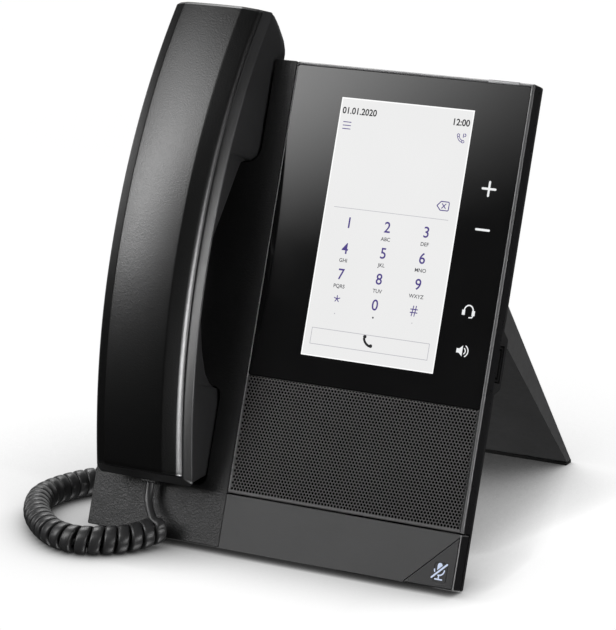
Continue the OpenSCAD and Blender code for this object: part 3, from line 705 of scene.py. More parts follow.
def end_slant(x, depth):
    """How much higher up the face the lower end lies at this point of the section."""
    return 0.76 * max(0.0, depth - SIDE_TOP) + 1.9 * clamp01((abs(x) - 21.9) / 2.1) ** 1.5


def cutter(rings):
    mesh = new_mesh("cutter", *loft(rings))
    turn_outward(mesh)
    return new_object("cutter", mesh)


def drill(x, up, bottom, top, radius, sides=20):
    """A cutter for a round hole from bottom to top, both measured out of the face."""
    turns = [2 * math.pi * i / sides for i in range(sides)]
    return cutter([[on_face(x + radius * math.cos(a), up + radius * math.sin(a), out)
                    for a in turns] for out in (bottom, top)])


def cut_away(obj, cutters):
    """Cuts temporary solids out of obj and removes them."""
    for solid in cutters:
        cut = obj.modifiers.new("cut", "BOOLEAN")
        cut.operation = "DIFFERENCE"
        cut.solver = "EXACT"
        cut.object = solid
    bpy.context.view_layer.update()
    depsgraph = bpy.context.evaluated_depsgraph_get()
    mesh = bpy.data.meshes.new_from_object(obj.evaluated_get(depsgraph))
    obj.modifiers.clear()
    uncut = obj.data
    obj.data = mesh
    bpy.data.meshes.remove(uncut)
    for solid in cutters:
        bpy.data.objects.remove(solid)
    shade(mesh, 32)


def cut_handset_holes(shell):
    """A ring of six holes round a seventh, and three single holes."""
    ring_up, ring_radius = 190, 5
    holes = []
    for degrees in range(0, 360, 60):
        a = math.radians(degrees)
        holes.append(drill(HANDSET_X + ring_radius * math.cos(a),
                           ring_up + ring_radius * math.sin(a), -14, -8.5, 0.95))
    # (up, bottom, top, radius)
    for up, bottom, top, radius in ((ring_up, -14, -8.5, 0.95), (50, -9, -4.9, 1.1),
                                    (40, -9, -5.6, 1.9), (210, -13, -9.4, 1.9)):
        holes.append(drill(HANDSET_X, up, bottom, top, radius))
    cut_away(shell, holes)


def cut_plug_notch(shell):
    """A rounded notch for the cord plug in the lower end."""
    half_width, arch_out, arch_rise = 8.6, 2.2, 6.6
    outline = [(-half_width, -14.0), (half_width, -14.0)]
    outline += [(half_width * math.cos(math.radians(a)),
                 arch_out + arch_rise * math.sin(math.radians(a))) for a in range(0, 181, 12)]
    cut_away(shell, [cutter([[on_face(HANDSET_X + x, up, out) for x, out in outline]
                             for up in (20.0, 30.0)])])


def build_handset_inner():
    rings = []
    for up, inset in with_ends(INNER_START, [(0.0, 0.6), (0.2, 0.25), (0.6, 0.05)],
                               [(1.15, 0.0), (0.35, 0.6), (0.0, 1.0)]):
        fade = max(0.0, 1.0 - (up - INNER_START) / 8.0)
        ring = []
        for x, depth in inner_section(up, inset):
            slanted = up + end_slant(x, depth) * fade
            ring.append(on_face(HANDSET_X + x, slanted, spine(slanted) + depth))
        rings.append(ring)
    points, faces = loft(rings)
    size = len(rings[0])
    skin_faces = (len(rings) - 1) * size
    # painted highlight: two columns of faces on each side, below 0.1 m, wear a reflective material
    # that paints in a line of light
    line_columns = (5, 6, size - 8, size - 7)
    painted_line_faces = [int(i < skin_faces and i % size in line_columns and points[i][2] < 0.1)
              for i in range(len(faces))]
    shell = add_mesh("handset_inner_skin", points, faces, ("handset_charcoal", "handset_line_painted_highlight"),
                     None, sharp_angle=28, face_material=painted_line_faces)
    cut_handset_holes(shell)
    cut_plug_notch(shell)
    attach(shell, "handset")
    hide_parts("handset_inner_shell")


# ---------------------------------------------------------------- display rim
RIM_LEFT = SEAM + 0.1
RIM_BOTTOM, RIM_TOP = 23.68, 210.2
RIM_SIDE_WIDTH, RIM_TOP_WIDTH = 1.38, 1.34
CORNER_OUTER, CORNER_INNER = 0.6, 0.25      # radii of the top right corner
LEFT_RADIUS = 1.2                           # radius of the top left corner
# (across, out), where across is 0 at the outside and 1 at the glass
RIM_PROFILE = [
    (0.0, -7.2), (0.0, -0.95), (0.02, -0.72), (0.08, -0.58), (0.46, -0.03), (0.54, 0.02),
    (0.62, 0.03), (0.93, -0.04), (1.0, -0.14), (1.0, -1.78), (1.0, -7.2)]
# ledges behind the glass: (left, right, bottom, top)
LEDGES = [
    (SEAM + 0.7, RIGHT - 1.3, 70.6, 78.4), (SEAM + 0.7, SEAM + 3.4, RIM_BOTTOM + 0.2, 209),
    (RIGHT - 4.8, RIGHT - 1.3, RIM_BOTTOM + 0.2, 209), (SEAM + 0.7, RIGHT - 1.3, 205, 209)]
LEDGE_BACK, LEDGE_FRONT = -3.0, -1.76


def rim_right(up, across, out):
    width = RIM_SIDE_WIDTH - 0.16 * (1 - clamp01((up - 60.0) / 18.0))
    return on_face(RIGHT - across * width, up, out)


def rim_top_right(degrees, across, out):
    cos, sin = math.cos(math.radians(degrees)), math.sin(math.radians(degrees))
    outer_x = RIGHT - CORNER_OUTER + CORNER_OUTER * cos
    outer_up = RIM_TOP - CORNER_OUTER + CORNER_OUTER * sin
    inner_x = RIGHT - RIM_SIDE_WIDTH - CORNER_INNER + CORNER_INNER * cos
    inner_up = RIM_TOP - RIM_TOP_WIDTH - CORNER_INNER + CORNER_INNER * sin
    return on_face(outer_x + (inner_x - outer_x) * across,
                   outer_up + (inner_up - outer_up) * across, out)


def rim_top(x, across, out):
    return on_face(x, RIM_TOP - across * RIM_TOP_WIDTH, out)


def flatter(out):
    """The rim's crown is lower along the left."""
    return out if out < -1 else out * 0.6 + 0.05


def rim_top_left(degrees, across, out):
    radius = LEFT_RADIUS - across * (1.1 - 0.55 * (degrees - 90) / 90)
    return on_face(RIM_LEFT + LEFT_RADIUS + radius * math.cos(math.radians(degrees)),
                   RIM_TOP - LEFT_RADIUS + radius * math.sin(math.radians(degrees)),
                   flatter(out))


def rim_left(up, across, out):
    return on_face(RIM_LEFT + across * 0.62, up, flatter(out))


def rim_rings(place, stations):
    return [[place(station, across, out) for across, out in RIM_PROFILE]
            for station in stations]


def build_display_rim():
    rings = rim_rings(rim_right, np.linspace(RIM_BOTTOM, RIM_TOP - CORNER_OUTER, 12)[:-1])
    rings += rim_rings(rim_top_right, np.linspace(0, 90, 9))
    rings += rim_rings(rim_top, np.linspace(RIGHT - 1.6, RIM_LEFT + LEFT_RADIUS, 12)[1:])
    rings += rim_rings(rim_top_left, np.linspace(90, 180, 7)[1:])
    size = len(RIM_PROFILE)
    left_start = (len(rings) - 1) * size
    rings += rim_rings(rim_left, np.linspace(RIM_TOP - LEFT_RADIUS, RIM_BOTTOM, 12)[1:])
    left_end = (len(rings) - 1) * size
    points, faces = loft(rings)
    for left, right, bottom, top in LEDGES:
        first = len(points)
        corners = ((left, bottom), (right, bottom), (right, top), (left, top))
        points += [on_face(x, up, out) for out in (LEDGE_BACK, LEDGE_FRONT)
                   for x, up in corners]
        box = [(3, 2, 1, 0), (4, 5, 6, 7)]
        box += [(i, (i + 1) % 4, 4 + (i + 1) % 4, 4 + i) for i in range(4)]
        faces += [tuple(first + i for i in face) for face in box]
    # the left run of the rim wears the painted highlight
    add_mesh("display_rim", points, faces, ("bezel_graphite", "bezel_painted_highlight"), "root",
             sharp_angle=25, replaces="display_frame",
             face_material=[int(left_start <= i < left_end) for i in range(len(faces))])


# ---------------------------------------------------------------- message light bar
# section, wrapped over the top rim: (out, up)
BAR_PROFILE = [
    (-4.6, 209.0), (-4.6, 210.22), (-4.4, 210.34), (-0.5, 210.34), (-0.12, 210.24),
    (0.05, 209.95), (0.08, 209.5), (0.02, 208.98)]
# (x, inset)
BAR_STATIONS = [(67.42, 0.12), (67.55, 0.03), (67.8, 0.0), (81.1, 0.0), (81.35, 0.03),
                (81.48, 0.12)]


def build_message_light():
    rings = [[on_face(x, up - inset if up > 209.5 else up + inset * 0.3,
                      out - (inset if out > -1 else 0)) for out, up in BAR_PROFILE]
             for x, inset in BAR_STATIONS]
    add_mesh("message_light_bar", *loft(rings), ("message_lens_pale",), "root",
             sharp_angle=30, replaces="message_light_lens")


# ---------------------------------------------------------------- speaker grille
HOLE_PITCH_X, HOLE_PITCH_UP = 1.5, 1.28
HOLE_RADIUS, HOLE_SIDES = 0.64, 8
HOLE_EDGE = 0.04                    # width and drop of the softened rim of a hole
GRILLE_LEFT, GRILLE_RIGHT = SEAM + 0.85, RIGHT - 1.5
GRILLE_BOTTOM, GRILLE_TOP = 23.75, 74.32
PLATE_OUT, HOLE_FLOOR_OUT, SKIRT_OUT = -0.14, -0.78, -1.1
END_MARGIN = 0.2                    # least plain strip below the holes
GRILLE_MATERIALS = ("grille_black", "acoustic_cloth", "grille_wall_painted_shade", "grille_margin")
# the hole walls wear the painted shade material
PLATE, CLOTH, SHADED_WALL, MARGIN = range(4)


class Grille:
    """The perforated plate, with real holes set in staggered rows."""

    def __init__(self):
        self.points, self.faces, self.tags = [], [], []

    def point(self, x, up, out):
        self.points.append((x, up, out))
        return len(self.points) - 1

    def face(self, corners, tag=PLATE):
        self.faces.append(tuple(corners))
        self.tags.append(tag)

    def top(self, x, up):
        """Level of the plate, which dips at its left, top and bottom edges."""
        dip = 0.0
        if x < GRILLE_LEFT + 1.2:
            dip -= 0.10 * ((GRILLE_LEFT + 1.2 - x) / 1.2) ** 2
        if up > GRILLE_TOP - 0.5:
            dip -= 0.16 * ((up - GRILLE_TOP + 0.5) / 0.5) ** 2
        if up < GRILLE_BOTTOM + 0.35:
            dip -= 0.10 * ((GRILLE_BOTTOM + 0.35 - up) / 0.35) ** 2
        return PLATE_OUT + dip

    def top_point(self, x, up):
        return self.point(x, up, self.top(x, up))

    def plain(self, x0, x1, up0, up1, tag=PLATE):
        corners = ((x0, up0), (x1, up0), (x1, up1), (x0, up1))
        self.face([self.top_point(x, up) for x, up in corners], tag)

    def cell(self, x0, up0, up1, middle_up, half):
        """A cell with a hole. In a half cell the hole breaks the plate's top edge."""
        x1 = x0 + HOLE_PITCH_X
        middle_x = x0 + HOLE_PITCH_X / 2
        if half:
            steps = HOLE_SIDES // 2
            turns = [math.pi + math.pi * i / steps for i in range(steps + 1)]
        else:
            steps = HOLE_SIDES
            turns = [2 * math.pi * (i + 0.5) / steps for i in range(steps)]
        border, rim, lip, floor = [], [], [], []
        for turn in turns:
            cos, sin = math.cos(turn), math.sin(turn)
            # distance from the hole's middle to the border of the cell
            reach_x = ((x1 if cos > 0 else x0) - middle_x) / cos if abs(cos) > 1e-9 else 1e9
            reach_up = ((up1 if sin > 0 else up0) - middle_up) / sin if abs(sin) > 1e-9 else 1e9
            reach = min(reach_x, reach_up)
            border.append(self.top_point(middle_x + reach * cos, middle_up + reach * sin))
            hole_x, hole_up = middle_x + HOLE_RADIUS * cos, middle_up + HOLE_RADIUS * sin
            lip.append(self.point(hole_x, hole_up, self.top(hole_x, hole_up) - HOLE_EDGE))
            floor.append(self.point(hole_x, hole_up, HOLE_FLOOR_OUT))
            rim_radius = HOLE_RADIUS + HOLE_EDGE
            rim.append(self.top_point(middle_x + rim_radius * cos, middle_up + rim_radius * sin))
        for i in range(steps):
            j = (i + 1) % len(turns)
            self.face((border[i], border[j], rim[j], rim[i]))
            self.face((rim[i], rim[j], lip[j], lip[i]))
            # hole wall: painted shade
            self.face((lip[i], lip[j], floor[j], floor[i]), SHADED_WALL)
            self.fill_corner(border[i], border[j],
                             ((x1, up1), (x0, up1), (x0, up0), (x1, up0)))

    def fill_corner(self, first, second, corners):
        """Closes the cell's corner when two border points lie on different sides."""
        a, b = self.points[first], self.points[second]

        def close(p, q):
            return abs(p[0] - q[0]) < 1e-6 or abs(p[1] - q[1]) < 1e-6

        if close(a, b):
            return
        for corner in corners:
            if close(a, corner) and close(b, corner):
                self.face((first, self.top_point(*corner), second))
                break

    def rows(self):
        """Rows of holes from the top edge down, then a plain strip."""
        middle, row = GRILLE_TOP, 0
        while middle - HOLE_PITCH_UP / 2 > GRILLE_BOTTOM + END_MARGIN:
            top = middle if row == 0 else middle + HOLE_PITCH_UP / 2
            bottom = middle - HOLE_PITCH_UP / 2
            x = GRILLE_LEFT + 0.25 + (HOLE_PITCH_X / 2 if row % 2 else 0.0)
            self.plain(GRILLE_LEFT, x, bottom, top)
            while x + HOLE_PITCH_X <= GRILLE_RIGHT - 0.15:
                self.cell(x, bottom, top, middle, half=row == 0)
                x += HOLE_PITCH_X
            self.plain(x, GRILLE_RIGHT, bottom, top, MARGIN)
            middle -= HOLE_PITCH_UP
            row += 1
        strip = bottom - GRILLE_BOTTOM
        for i in range(3):
            self.plain(GRILLE_LEFT, GRILLE_RIGHT, GRILLE_BOTTOM + strip * i / 3,
                       GRILLE_BOTTOM + strip * (i + 1) / 3)

    def skirt_and_cloth(self):
        low_left, low_right = (GRILLE_LEFT, GRILLE_BOTTOM), (GRILLE_RIGHT, GRILLE_BOTTOM)
        top_left, top_right = (GRILLE_LEFT, GRILLE_TOP), (GRILLE_RIGHT, GRILLE_TOP)
        for a, b in ((low_left, low_right), (low_right, top_right), (top_left, low_left)):
            self.face([self.top_point(*a), self.top_point(*b),
                       self.point(*b, SKIRT_OUT), self.point(*a, SKIRT_OUT)])
        self.face([self.point(*top_left, PLATE_OUT - 0.45),
                   self.point(*top_right, PLATE_OUT - 0.45),
                   self.point(*top_right, SKIRT_OUT), self.point(*top_left, SKIRT_OUT)])
        self.face([self.point(*corner, HOLE_FLOOR_OUT - 0.02)
                   for corner in (low_left, low_right, top_right, top_left)], CLOTH)


def build_grille():
    grille = Grille()
    grille.rows()
    grille.skirt_and_cloth()
    add_mesh("speaker_grille_plate", [on_face(*point) for point in grille.points],
             grille.faces, GRILLE_MATERIALS, "root", sharp_angle=30,
             replaces="speaker_grille", recalc=False, face_material=grille.tags)


# ---------------------------------------------------------------- display image
SCREEN_LEFT, SCREEN_RIGHT, SCREEN_BOTTOM, SCREEN_TOP = 1.5, 63.6, 86.4, 196.8
SCREEN_BORDER = 0.5
PICTURE_OUT = -0.10
INK_OUT = PICTURE_OUT + 0.014
DIAL_COLUMNS = (14.25, 32.3, 50.5)
DIAL_ROWS = (143.9, 132.9, 121.95, 111.0)
STAR_COLUMN, ZERO_COLUMN, HASH_COLUMN = DIAL_COLUMNS


def screen_corners(inset):
    left, right = SCREEN_LEFT + inset, SCREEN_RIGHT - inset
    bottom, top = SCREEN_BOTTOM + inset, SCREEN_TOP - inset
    return [(left, bottom), (right, bottom), (right, top), (left, top)]


def build_screen():
    inner, outer = screen_corners(SCREEN_BORDER), screen_corners(0.0)
    picture = Film()
    picture.polygon(inner)
    picture.build("display_picture", "screen_white", PICTURE_OUT)
    border = Film()
    for i in range(4):
        j = (i + 1) % 4
        border.polygon([outer[i], outer[j], inner[j], inner[i]])
    border.build("display_border", "screen_edge", PICTURE_OUT)


def draw_star_and_hash(film):
    for degrees in (90, 162, 234, 306, 18):
        a = math.radians(degrees)
        film.stroke([(STAR_COLUMN, 111.7),
                     (STAR_COLUMN + 1.35 * math.cos(a), 111.7 + 1.35 * math.sin(a))], 0.42)
    for offset in (-0.62, 0.62):
        film.stroke([(HASH_COLUMN + offset - 0.25, 108.9),
                     (HASH_COLUMN + offset + 0.25, 113.1)], 0.42)
        level = DIAL_ROWS[3] + offset * 1.1
        film.stroke([(HASH_COLUMN - 1.6, level), (HASH_COLUMN + 1.6, level)], 0.42)


def draw_erase_key(film):
    film.stroke([(53.3, 155.85), (55.0, 157.7), (58.4, 157.7), (58.75, 157.3),
                 (58.75, 154.4), (58.4, 154.0), (55.0, 154.0)], 0.42, close=True)
    film.stroke([(55.6, 154.9), (57.3, 156.8)], 0.4)
    film.stroke([(55.6, 156.8), (57.3, 154.9)], 0.4)


def draw_small_receiver(film):
    for radius, start, end in ((3.0, 192, 256), (2.2, 196, 252)):
        film.arc(60.5, 186.0, radius, start, end, 0.3)
    film.stroke([(57.55, 185.4), (58.35, 185.4), (58.45, 186.3), (57.7, 186.5),
                 (57.3, 186.0)], 0.28, close=True)
    film.stroke([(59.8, 183.1), (59.9, 183.9), (60.7, 183.8), (60.9, 183.1),
                 (60.3, 182.8)], 0.28, close=True)
    film.stroke([(60.2, 186.6), (60.2, 185.2)], 0.36)
    film.arc(60.75, 186.1, 0.55, -90, 90, 0.34, steps=8)


def build_digits():
    film = Film()
    digit_style = dict(size=6.5, bold=0.07, wide=0.95)
    for i, digit in enumerate("123456789"):
        film.text(digit, DIAL_COLUMNS[i % 3], DIAL_ROWS[i // 3], **digit_style)
    film.text("0", ZERO_COLUMN, DIAL_ROWS[3], **digit_style)
    draw_star_and_hash(film)
    draw_erase_key(film)
    for i in range(3):
        # menu bars
        film.stroke([(3.9, 186.45 - i * 1.45), (7.5, 186.45 - i * 1.45)], 0.36)
    draw_small_receiver(film)
    film.build("display_digits", "ink_violet", INK_OUT)


def build_dial_letters():
    film = Film()
    letters = ("ABC", "DEF", "GHI", "JKL", "MNO", "PQRS", "TUV", "WXYZ")
    for i, group in enumerate(letters, start=1):
        film.text(group, DIAL_COLUMNS[i % 3], DIAL_ROWS[i // 3] - 4.9, size=2.25,
                  bold=0.035, wide=1.0)
    film.disc(ZERO_COLUMN, 105.9, 0.42)
    film.build("display_dial_letters", "ink_grey", INK_OUT)


def build_status():
    """Date, time and the receiver glyph on the call button."""
    film = Film()
    film.text("01.01.2020", 2.6, 191.2, size=3.9, align="LEFT", bold=0.09, wide=0.94)
    film.text("12:00", 62.3, 191.1, size=3.9, align="RIGHT", bold=0.09, wide=0.94)
    film.arc(33.8, 97.9, 4.2, 196, 254, 1.0)
    film.disc(30.0, 97.6, 0.8)
    film.disc(33.3, 94.0, 0.8)
    film.build("display_status", "ink_dark", INK_OUT)


def build_rules():
    """The line over the dial, the call button's outline and two dots."""
    film = Film()
    film.stroke([(6.0, 150.2), (59.4, 150.2)], 0.26)
    film.stroke([(4.9, 98.4), (60.0, 98.4), (60.0, 91.6), (4.9, 91.6)], 0.3, close=True)
    film.disc(STAR_COLUMN, 105.4, 0.28)
    film.disc(HASH_COLUMN, 105.9, 0.26)
    film.build("display_rules", "ink_pale", INK_OUT)


# ---------------------------------------------------------------- key icons
def draw_headset(film, x, up):
    film.arc(x, up - 0.3, 2.05, 0, 180, 0.55, steps=16, radius_up=2.45)
    for left, right in ((-2.9, -1.55), (1.55, 2.9)):
        film.polygon([(x + left, up + 0.1), (x + left, up - 2.0),
                      (x + right, up - 2.0), (x + right, up + 0.1)])
    film.stroke([(x + 2.2, up - 2.0), (x + 1.8, up - 2.75), (x + 0.5, up - 2.9)], 0.5)


def draw_loudspeaker(film, x, up):
    film.polygon([(x - 2.8, up + 0.9), (x - 2.8, up - 0.9), (x - 1.6, up - 0.9),
                  (x - 0.1, up - 2.25), (x - 0.1, up + 2.25), (x - 1.6, up + 0.9)])
    film.arc(x - 0.1, up, 1.35, -55, 55, 0.45, steps=8)
    film.arc(x - 0.1, up, 2.55, -58, 58, 0.48, steps=12)


def build_touch_icons():
    """Plus, minus, headset and loudspeaker to the right of the screen."""
    film = Film()
    film.stroke([(72.6, 165.1), (78.4, 165.1)], 0.95)
    film.stroke([(75.5, 162.2), (75.5, 168.0)], 0.95)
    film.stroke([(72.6, 148.0), (78.4, 148.0)], 0.95)
    draw_headset(film, x=75.15, up=114.3)
    draw_loudspeaker(film, x=75.25, up=97.5)
    film.build("touch_icons", "icon_white", PICTURE_OUT)


def build_mute_icon():
    """A microphone with a bar across it, set off by a band of key colour."""
    x = 80.65
    microphone = Film()
    microphone.stroke([(x, 7.55), (x, 9.35)], 2.15)
    microphone.arc(x, 7.5, 2.25, 180, 360, 0.52, steps=16, radius_up=2.2)
    microphone.stroke([(x, 5.3), (x, 3.75)], 0.55)
    microphone.stroke([(x - 1.5, 3.6), (x + 1.6, 3.6)], 0.55)
    microphone.build("mute_icon", "icon_blue", -0.03, body="mute")
    gap = Film()
    gap.stroke([(77.75, 4.25), (83.55, 9.9)], 1.7)
    gap.build("mute_icon_gap", "mute_face", -0.022, body="mute")
    bar = Film()
    bar.stroke([(77.55, 4.05), (83.75, 10.1)], 0.72)
    bar.build("mute_icon_bar", "icon_blue", -0.012, body="mute")


# ---------------------------------------------------------------- coiled cord
# middle line of the coil, from in front of the handset round the left to behind: (x, y, z)
COIL_AXIS = [
    (-50.8, -4.4, 8.2), (-53.4, -9.0, 7.2), (-57.4, -14.8, 6.5), (-63, -20.2, 6.2),
    (-70.4, -24.8, 6.2), (-80, -26.9, 6.2), (-93, -22.3, 6.2), (-108.6, -8.3, 6.2),
    (-119.2, 9.1, 6.2), (-120.6, 20.9, 6.2), (-118.2, 31.9, 6.2), (-113, 42.5, 6.2),
    (-104, 52, 6.2), (-90, 57, 6.2), (-72, 58, 6.2), (-60, 54, 8), (-48, 45, 15),
    (-40.5, 38, 23), (-38, 35, 30.5)]
COIL_PITCH = 5.4
COIL_RADIUS = 6.2 - 1.7             # outer radius less half the wire
COIL_END_KNOT = 14.35               # place along COIL_AXIS where the coils run out
COIL_FADE = 5.0                     # length over which they close up
STEPS_PER_TURN = 26
WIRE_SIDES = 16
TAIL_STEPS = 16
SPLIT_X = -106.0                    # the cord is built in two pieces, parted here


def catmull(knots, steps):
    """A smooth line through the knots, and the knot number of each of its points."""
    knots = np.array(knots, float)
    line, numbers = [], []
    last = len(knots) - 1
    for i in range(last):
        before, start, end = knots[max(i - 1, 0)], knots[i], knots[i + 1]
        after = knots[min(i + 2, last)]
        for j in range(steps):
            t = j / steps
            line.append(0.5 * ((2 * start) + (end - before) * t
                               + (2 * before - 5 * start + 4 * end - after) * t * t
                               + (3 * start - before - 3 * end + after) * t ** 3))
            numbers.append(i + t)
    line.append(knots[-1])
    numbers.append(float(last))
    return np.array(line), np.array(numbers)


def ease(t):
    t = np.clip(t, 0, 1)
    return t * t * (3 - 2 * t)


def tangents(line):
    steps = np.gradient(line, axis=0)
    return steps / np.linalg.norm(steps, axis=1)[:, None]


def square_to(vector, tangent):
    """The unit vector nearest to vector that is square to tangent."""
    vector = vector - (vector @ tangent) * tangent
    return vector / np.linalg.norm(vector)


def coil_line():
    """Wire line, outward direction and coiling (1 coiled, 0 straight), with the axis x."""
    path, numbers = catmull(COIL_AXIS, 40)
    lengths = np.linalg.norm(np.diff(path, axis=0), axis=1)
    travelled = np.concatenate([[0], np.cumsum(lengths)])
    coil_end = np.interp(COIL_END_KNOT, numbers, travelled)
    along = [0.0]
    while along[-1] < travelled[-1] - 1e-6:
        step = COIL_PITCH / STEPS_PER_TURN if along[-1] < coil_end + 4 else 1.0
        along.append(min(travelled[-1], along[-1] + step))
    along = np.array(along)
    axis = np.stack([np.interp(along, travelled, path[:, i]) for i in range(3)], 1)
    forward = tangents(axis)
    side = np.zeros_like(axis)
    carried = np.array([0.57, -0.82, 0.0])
    for i in range(len(along)):
        carried = square_to(carried, forward[i])
        side[i] = carried
    coiling = 1 - ease((along - coil_end + COIL_FADE) / COIL_FADE)
    # the wire leaves the tail down the front of the first ring and winds away to the left
    turn = -2 * math.pi * np.clip(along, 0, coil_end) / COIL_PITCH + 0.25
    radial = side * np.cos(turn)[:, None] + np.cross(forward, side) * np.sin(turn)[:, None]
    wire = axis + radial * (COIL_RADIUS * coiling)[:, None]
    return wire, radial, coiling, axis[:, 0]


def tail_line(wire, radial):
    """The tail from the handset's plug down to the first ring."""
    lead = (wire[1] - wire[0]) / np.linalg.norm(wire[1] - wire[0])
    plug = face_mm(HANDSET_X, 22.2, 4.4)
    knots = [plug, plug, (-56.9, -0.3, 18.8), (-51.9, -5.2, 13.2), wire[0] - lead * 2.2, wire[0]]
    # the doubled first knot only steers the curve, so its stretch is dropped
    tail = catmull(knots, TAIL_STEPS)[0][TAIL_STEPS:-1]
    forward = tangents(np.concatenate([tail, wire[:2]]))
    carried = square_to(radial[0], lead)
    outward = []
    for i in reversed(range(len(tail))):
        carried = square_to(carried, forward[i])
        outward.append(carried)
    return tail, np.array(outward[::-1])


def wire_rings(wire, outward, coiling):
    """Sections of the wire: oval on the tail, squarer and wider where it is coiled."""
    forward = tangents(wire)
    rings = []
    for i, coiled in enumerate(coiling):
        thick_way = square_to(outward[i], forward[i])
        wide_way = np.cross(forward[i], thick_way)
        half_thick = 1.6 + 0.05 * coiled
        half_wide = 1.85 + (2.42 - 1.85) * coiled
        power = 1.0 - 0.5 * coiled
        ring = []
        for j in range(WIRE_SIDES):
            a = 2 * math.pi * j / WIRE_SIDES
            cos, sin = math.cos(a), math.sin(a)
            ring.append((wire[i]
                         + thick_way * half_thick * math.copysign(abs(cos) ** power, cos)
                         + wide_way * half_wide * math.copysign(abs(sin) ** power, sin)) * MM)
        rings.append(ring)
    return rings


def build_cord():
    wire, radial, coiling, axis_x = coil_line()
    tail, tail_outward = tail_line(wire, radial)
    count = len(tail)
    tail_coiling = ease((np.arange(count) - count * 0.35) / (count * 0.65))
    rings = wire_rings(np.concatenate([tail, wire]), np.concatenate([tail_outward, radial]),
                       np.concatenate([tail_coiling, coiling]))
    split = count + int(np.argmax(axis_x < SPLIT_X))
    front = add_mesh("cord_coil_front", *loft(rings[:split + 1]), ("cord_jacket",), None,
                     sharp_angle=60, replaces="coiled_cord")
    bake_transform(front)
    add_mesh("cord_coil_rear", *loft(rings[split:]), ("cord_jacket",), "root", sharp_angle=60)


# ---------------------------------------------------------------- floor
def floor_material():
    """A pale sheet shaded by how open the sky is above each point, so the phone grounds softly."""
    graph = new_material("studio_floor")
    place = graph.split(graph.coords())
    # short reach in front of the phone, longer behind it where the base and stand close the sky
    reach = graph.math("MULTIPLY",
                       graph.remap(place[1], to=(0.042, 0.16), span=(-0.005, 0.06)),
                       graph.remap(place[0], to=(1.0, 0.28), span=(0.056, 0.098)))
    openness = graph.node("AmbientOcclusion", {"Distance": reach}, samples=16).outputs["AO"]
    contrast = graph.remap(place[1], to=(1.35, 1.5), span=(0.06, 0.13))
    shadow = graph.math("POWER", openness, contrast)
    unevenness = graph.remap(graph.noise(graph.coords(), scale=2.0), to=(1.0, 1.02))
    light = graph.node("Emission", {"Strength": graph.math("MULTIPLY", shadow, unevenness)})
    graph.node("OutputMaterial", {"Surface": light.outputs[0]})


def build_floor():
    floor_material()
    reach = 6                       # metres
    corners = [(-reach, -reach, 0), (reach, -reach, 0), (reach, reach, 0), (-reach, reach, 0)]
    mesh = new_mesh("studio_floor", corners, [(0, 1, 2, 3)])
    mesh.materials.append(MATERIALS["studio_floor"])
    floor = new_object("studio_floor", mesh)
    floor.visible_glossy = False
    floor.visible_diffuse = False
    floor.visible_shadow = False


# ---------------------------------------------------------------- studio light
# Soft panels on the sky. Azimuth is measured from -Y towards +X, azimuth and elevation are
# (zero, full, full, zero) in degrees; skew is degrees of height per degree of width.
PANELS = [
    # key, front left, falling away to the lower right
    dict(power=9.2, azimuth=(-57, -49, -39, -22.3), elevation=(12.8, 17.2, 33.4, 37.1),
         skew=-0.52),
    # wide soft top of the key
    dict(power=3.85, azimuth=(-73.5, -60, -18.5, 1), elevation=(31.8, 37.6, 47.2, 58.8),
         skew=-0.07),
    # strip on the right
    dict(power=12.7, azimuth=(37.5, 82, 90, 98.5), elevation=(-2.8, 1.6, 5.8, 10.1),
         skew=-0.31),
    # rim light, high behind on the left
    dict(power=6.4, azimuth=(-163.5, -146, -121, -104), elevation=(32.5, 46.7, 61, 73.6),
         skew=-0.18),
    # backdrop
    dict(power=0.86, azimuth=(152.5, 164, 203.5, 228.5), elevation=(-8, 3.2, 26, 40)),
    # table glow, left
    dict(power=1.07, azimuth=(-164.5, -144, -105, -91), elevation=(-7.5, -3.1, 1.2, 5.6),
         skew=-0.21),
    # table bounce, right
    dict(power=3.4, azimuth=(48, 62, 105, 125), elevation=(-83, -72, -55, -42)),
    # small top fill
    dict(power=1.15, azimuth=(-26.5, -8.5, 39, 50), elevation=(41.4, 47.5, 53, 59.7),
         skew=0.15),
]
# grey of the sky between the panels: (position from straight down to straight up, grey)
SKY_STOPS = [(0.0, 0.01), (0.49, 0.01), (0.51, 0.043), (1.0, 0.043)]
BACKGROUND_SEEN = 1.04              # strength of the plain white the camera sees


def add_panel(graph, sky_azimuth, sky_elevation, power, azimuth, elevation, skew=0.0):
    def window(angle, limits):
        """1 between the inner limits, falling smoothly to 0 at the outer ones."""
        sides = []
        for zero, full in ((limits[0], limits[1]), (limits[3], limits[2])):
            inputs = {"From Min": zero, "From Max": full, "Value": angle}
            step = graph.node("MapRange", inputs, interpolation_type="SMOOTHSTEP")
            sides.append(step.outputs["Result"])
        return graph.math("MULTIPLY", *sides)

    if azimuth[3] > 180:
        # this panel runs past the back seam
        wrapped = graph.math("LESS_THAN", sky_azimuth, azimuth[0])
        sky_azimuth = graph.math("ADD", sky_azimuth, graph.math("MULTIPLY", wrapped, 360.0))
    if skew:
        middle = (azimuth[1] + azimuth[2]) / 2
        offset = graph.math("SUBTRACT", sky_azimuth, middle)
        offset = graph.math("MAXIMUM", graph.math("MINIMUM", offset, 40.0), -40.0)
        sky_elevation = graph.math("ADD", sky_elevation, graph.math("MULTIPLY", offset, skew))
    shape = graph.math("MULTIPLY", window(sky_azimuth, azimuth),
                       window(sky_elevation, elevation))
    return graph.math("MULTIPLY", shape, power)


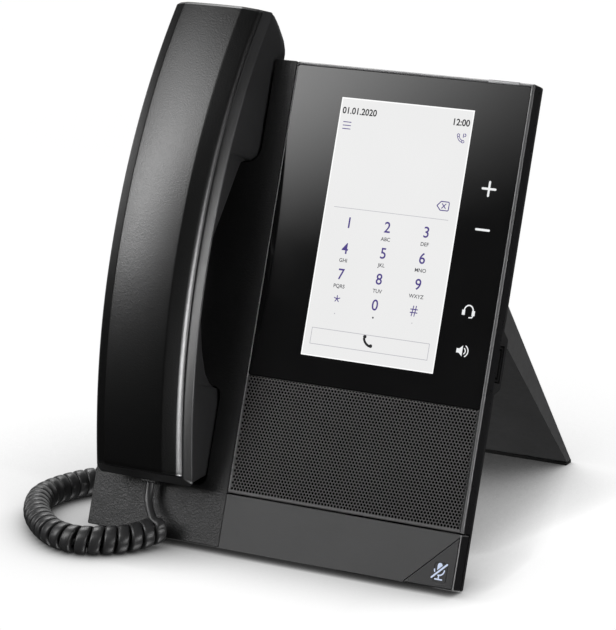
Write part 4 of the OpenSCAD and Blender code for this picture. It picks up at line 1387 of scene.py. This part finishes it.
def build_world():
    world = bpy.data.worlds.new("studio")
    SCENE.world = world
    world.use_nodes = True
    graph = Graph(world.node_tree)
    x, y, z = graph.split(graph.node("TexCoord").outputs["Generated"])
    degrees = 180 / math.pi
    elevation = graph.math("MULTIPLY", graph.math("ARCSINE", z), degrees)
    azimuth = graph.math("ARCTAN2", x, graph.math("MULTIPLY", y, -1.0))
    azimuth = graph.math("MULTIPLY", azimuth, degrees)
    panels = [add_panel(graph, azimuth, elevation, **panel) for panel in PANELS]
    total = graph.ramp(graph.remap(z, span=(-1, 1)), SKY_STOPS)
    for panel in panels:
        total = graph.math("ADD", total, panel)
    white = (1, 1, 1, 1)
    seen = graph.node("Background", {"Color": white, "Strength": BACKGROUND_SEEN})
    lighting = graph.node("Background", {"Color": white, "Strength": total})
    mixed = graph.node("MixShader", {
        "Fac": graph.node("LightPath").outputs["Is Camera Ray"],
        1: lighting.outputs[0],
        2: seen.outputs[0],
    })
    graph.node("OutputWorld", {"Surface": mixed.outputs[0]})


# ---------------------------------------------------------------- camera
VIEW_AZIMUTH, VIEW_ELEVATION = math.radians(28.601), math.radians(15.116)
VIEW_TARGET = (0.020814, 0.0, 0.111273)     # metres
VIEW_DISTANCE = 1.20476                     # metres


def build_camera():
    data = bpy.data.cameras.new("view")
    camera = new_object("view", data)
    data.lens = 168.53
    data.sensor_width = 36.0
    data.sensor_fit = "AUTO"
    data.clip_start = 0.05
    data.clip_end = 50.0
    back = Vector((math.sin(VIEW_AZIMUTH) * math.cos(VIEW_ELEVATION),
                   -math.cos(VIEW_AZIMUTH) * math.cos(VIEW_ELEVATION),
                   math.sin(VIEW_ELEVATION)))
    right = Vector((math.cos(VIEW_AZIMUTH), math.sin(VIEW_AZIMUTH), 0.0))
    axes = Matrix((right, back.cross(right), back)).transposed()
    camera.location = Vector(VIEW_TARGET) + back * VIEW_DISTANCE
    camera.rotation_mode = "QUATERNION"
    camera.rotation_quaternion = axes.to_quaternion()
    SCENE.camera = camera


# ---------------------------------------------------------------- build
build_handset_outer()
build_handset_inner()
build_display_rim()
build_message_light()
build_grille()
build_screen()
build_digits()
build_dial_letters()
build_status()
build_rules()
build_touch_icons()
build_mute_icon()
build_cord()
build_floor()
build_world()
build_camera()

SCENE.view_settings.view_transform = "Standard"
SCENE.view_settings.look = "None"
SCENE.view_settings.exposure = 0.0
SCENE.view_settings.gamma = 1.0
